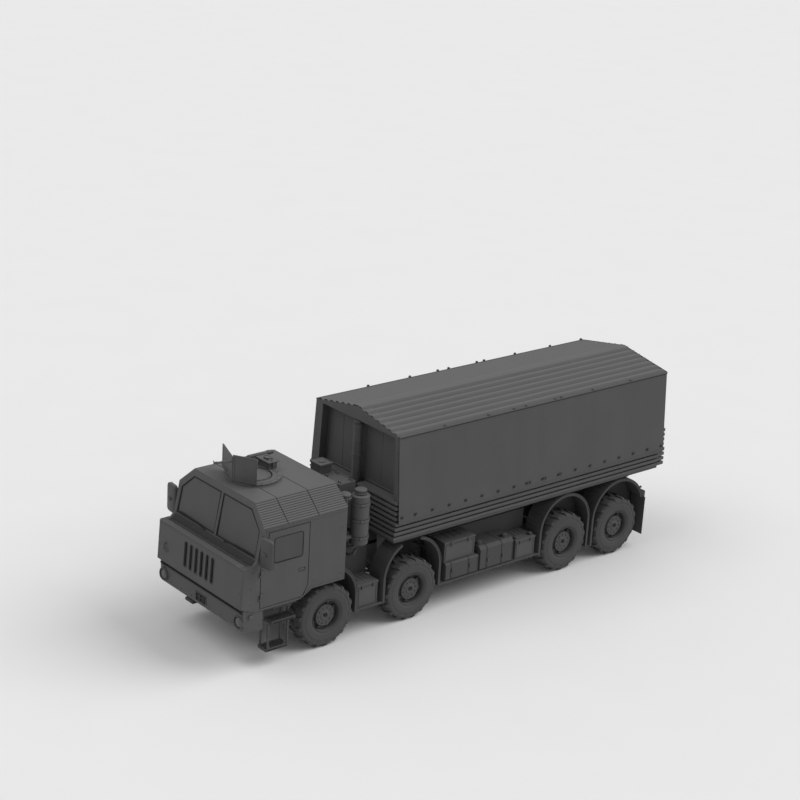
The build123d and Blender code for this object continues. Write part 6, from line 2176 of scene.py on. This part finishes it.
# %% Floor and world
STAGE_TONE, STAGE_DRIFT, STAGE_HALF = 0.83, 0.005, 400
SKY_STRENGTH = 0.46
floor_mesh = bpy.data.meshes.new("floor")
corners = [(x * STAGE_HALF, y * STAGE_HALF, 0) for x, y in ((-1, -1), (1, -1), (1, 1), (-1, 1))]
floor_mesh.from_pydata(corners, [], [(0, 1, 2, 3)])
floor = placed("floor", floor_mesh)
floor_material, tree, shader = new_material("floor")
speck = noise_value(tree, 0.6, 2.0)
pale, paler = (STAGE_TONE - STAGE_DRIFT,) * 3, (STAGE_TONE + STAGE_DRIFT,) * 3
fill(tree, shader, {
    "Base Color": toned(tree, speck, pale, paler), "Roughness": 0.95, "Specular IOR Level": 0.05,
})
floor_mesh.materials.append(floor_material)

world = bpy.data.worlds.new("studio")
bpy.context.scene.world = world
world.use_nodes = True
tree = world.node_tree
sky = tree.nodes["Background"]
fill(tree, sky, {"Color": (1, 1, 1, 1), "Strength": SKY_STRENGTH})
backdrop = add_node(tree, "Background", {"Color": (STAGE_TONE, STAGE_TONE, STAGE_TONE, 1)})
path = add_node(tree, "LightPath").outputs
seen = path["Is Camera Ray"]
for ray in ("Is Glossy Ray", "Is Transmission Ray"):
    seen = combined(tree, "MAXIMUM", seen, path[ray])
choose = add_node(tree, "MixShader", {
    "Fac": seen, 1: sky.outputs["Background"], 2: backdrop.outputs["Background"],
})
fill(tree, tree.nodes["World Output"], {"Surface": choose.outputs["Shader"]})
print("floor and world ready")


# %% [markdown]
# The key lamp stands to the left rear and lights the left side and the roof. The weaker
# fill stands in front. Wide lamps, 40 degrees and more, soften every shadow.

# %% Lamps
def soft_sun(name, towards, strength, spread):
    """Distant soft lamp that shines from a direction."""
    data = bpy.data.lights.new(name, "SUN")
    data.energy = strength
    data.angle = radians(spread)
    lamp = placed(name, data)
    lamp.location = Vector(towards) * 20
    lamp.rotation_euler = (-Vector(towards)).to_track_quat("-Z", "Y").to_euler()


for lamp in (("key", (0.42, 0.58, 0.70), 1.62, 45), ("fill", (-0.20, -0.50, 0.84), 0.62, 40)):
    soft_sun(*lamp)

# %% [markdown]
# The camera looks down the long lens from the front left. Its axes are built from two
# angles and a roll, and go into its matrix in one step.

# %% Camera
AZIMUTH, ELEVATION, ROLL = radians(49.109), radians(19.636), radians(3.372)
CAMERA_AT = (24.3373, A1 - 18.6246, 15.3326)
SENSOR, FOCAL = 36, 83.65  # millimetres
right = Vector((cos(AZIMUTH), sin(AZIMUTH), 0))
back = Vector((sin(AZIMUTH) * cos(ELEVATION), -cos(AZIMUTH) * cos(ELEVATION), sin(ELEVATION)))
up = back.cross(right)
tilted_right = right * cos(ROLL) + up * sin(ROLL)
tilted_up = up * cos(ROLL) - right * sin(ROLL)
lens_data = bpy.data.cameras.new("camera")
lens_data.sensor_width = SENSOR
lens_data.lens = FOCAL
camera = placed("camera", lens_data)
camera.matrix_world = Matrix((
    (tilted_right.x, tilted_up.x, back.x, CAMERA_AT[0]),
    (tilted_right.y, tilted_up.y, back.y, CAMERA_AT[1]),
    (tilted_right.z, tilted_up.z, back.z, CAMERA_AT[2]),
    (0, 0, 0, 1),
))
bpy.context.scene.camera = camera
bpy.context.scene.view_settings.view_transform = "Standard"
print("camera at", CAMERA_AT)
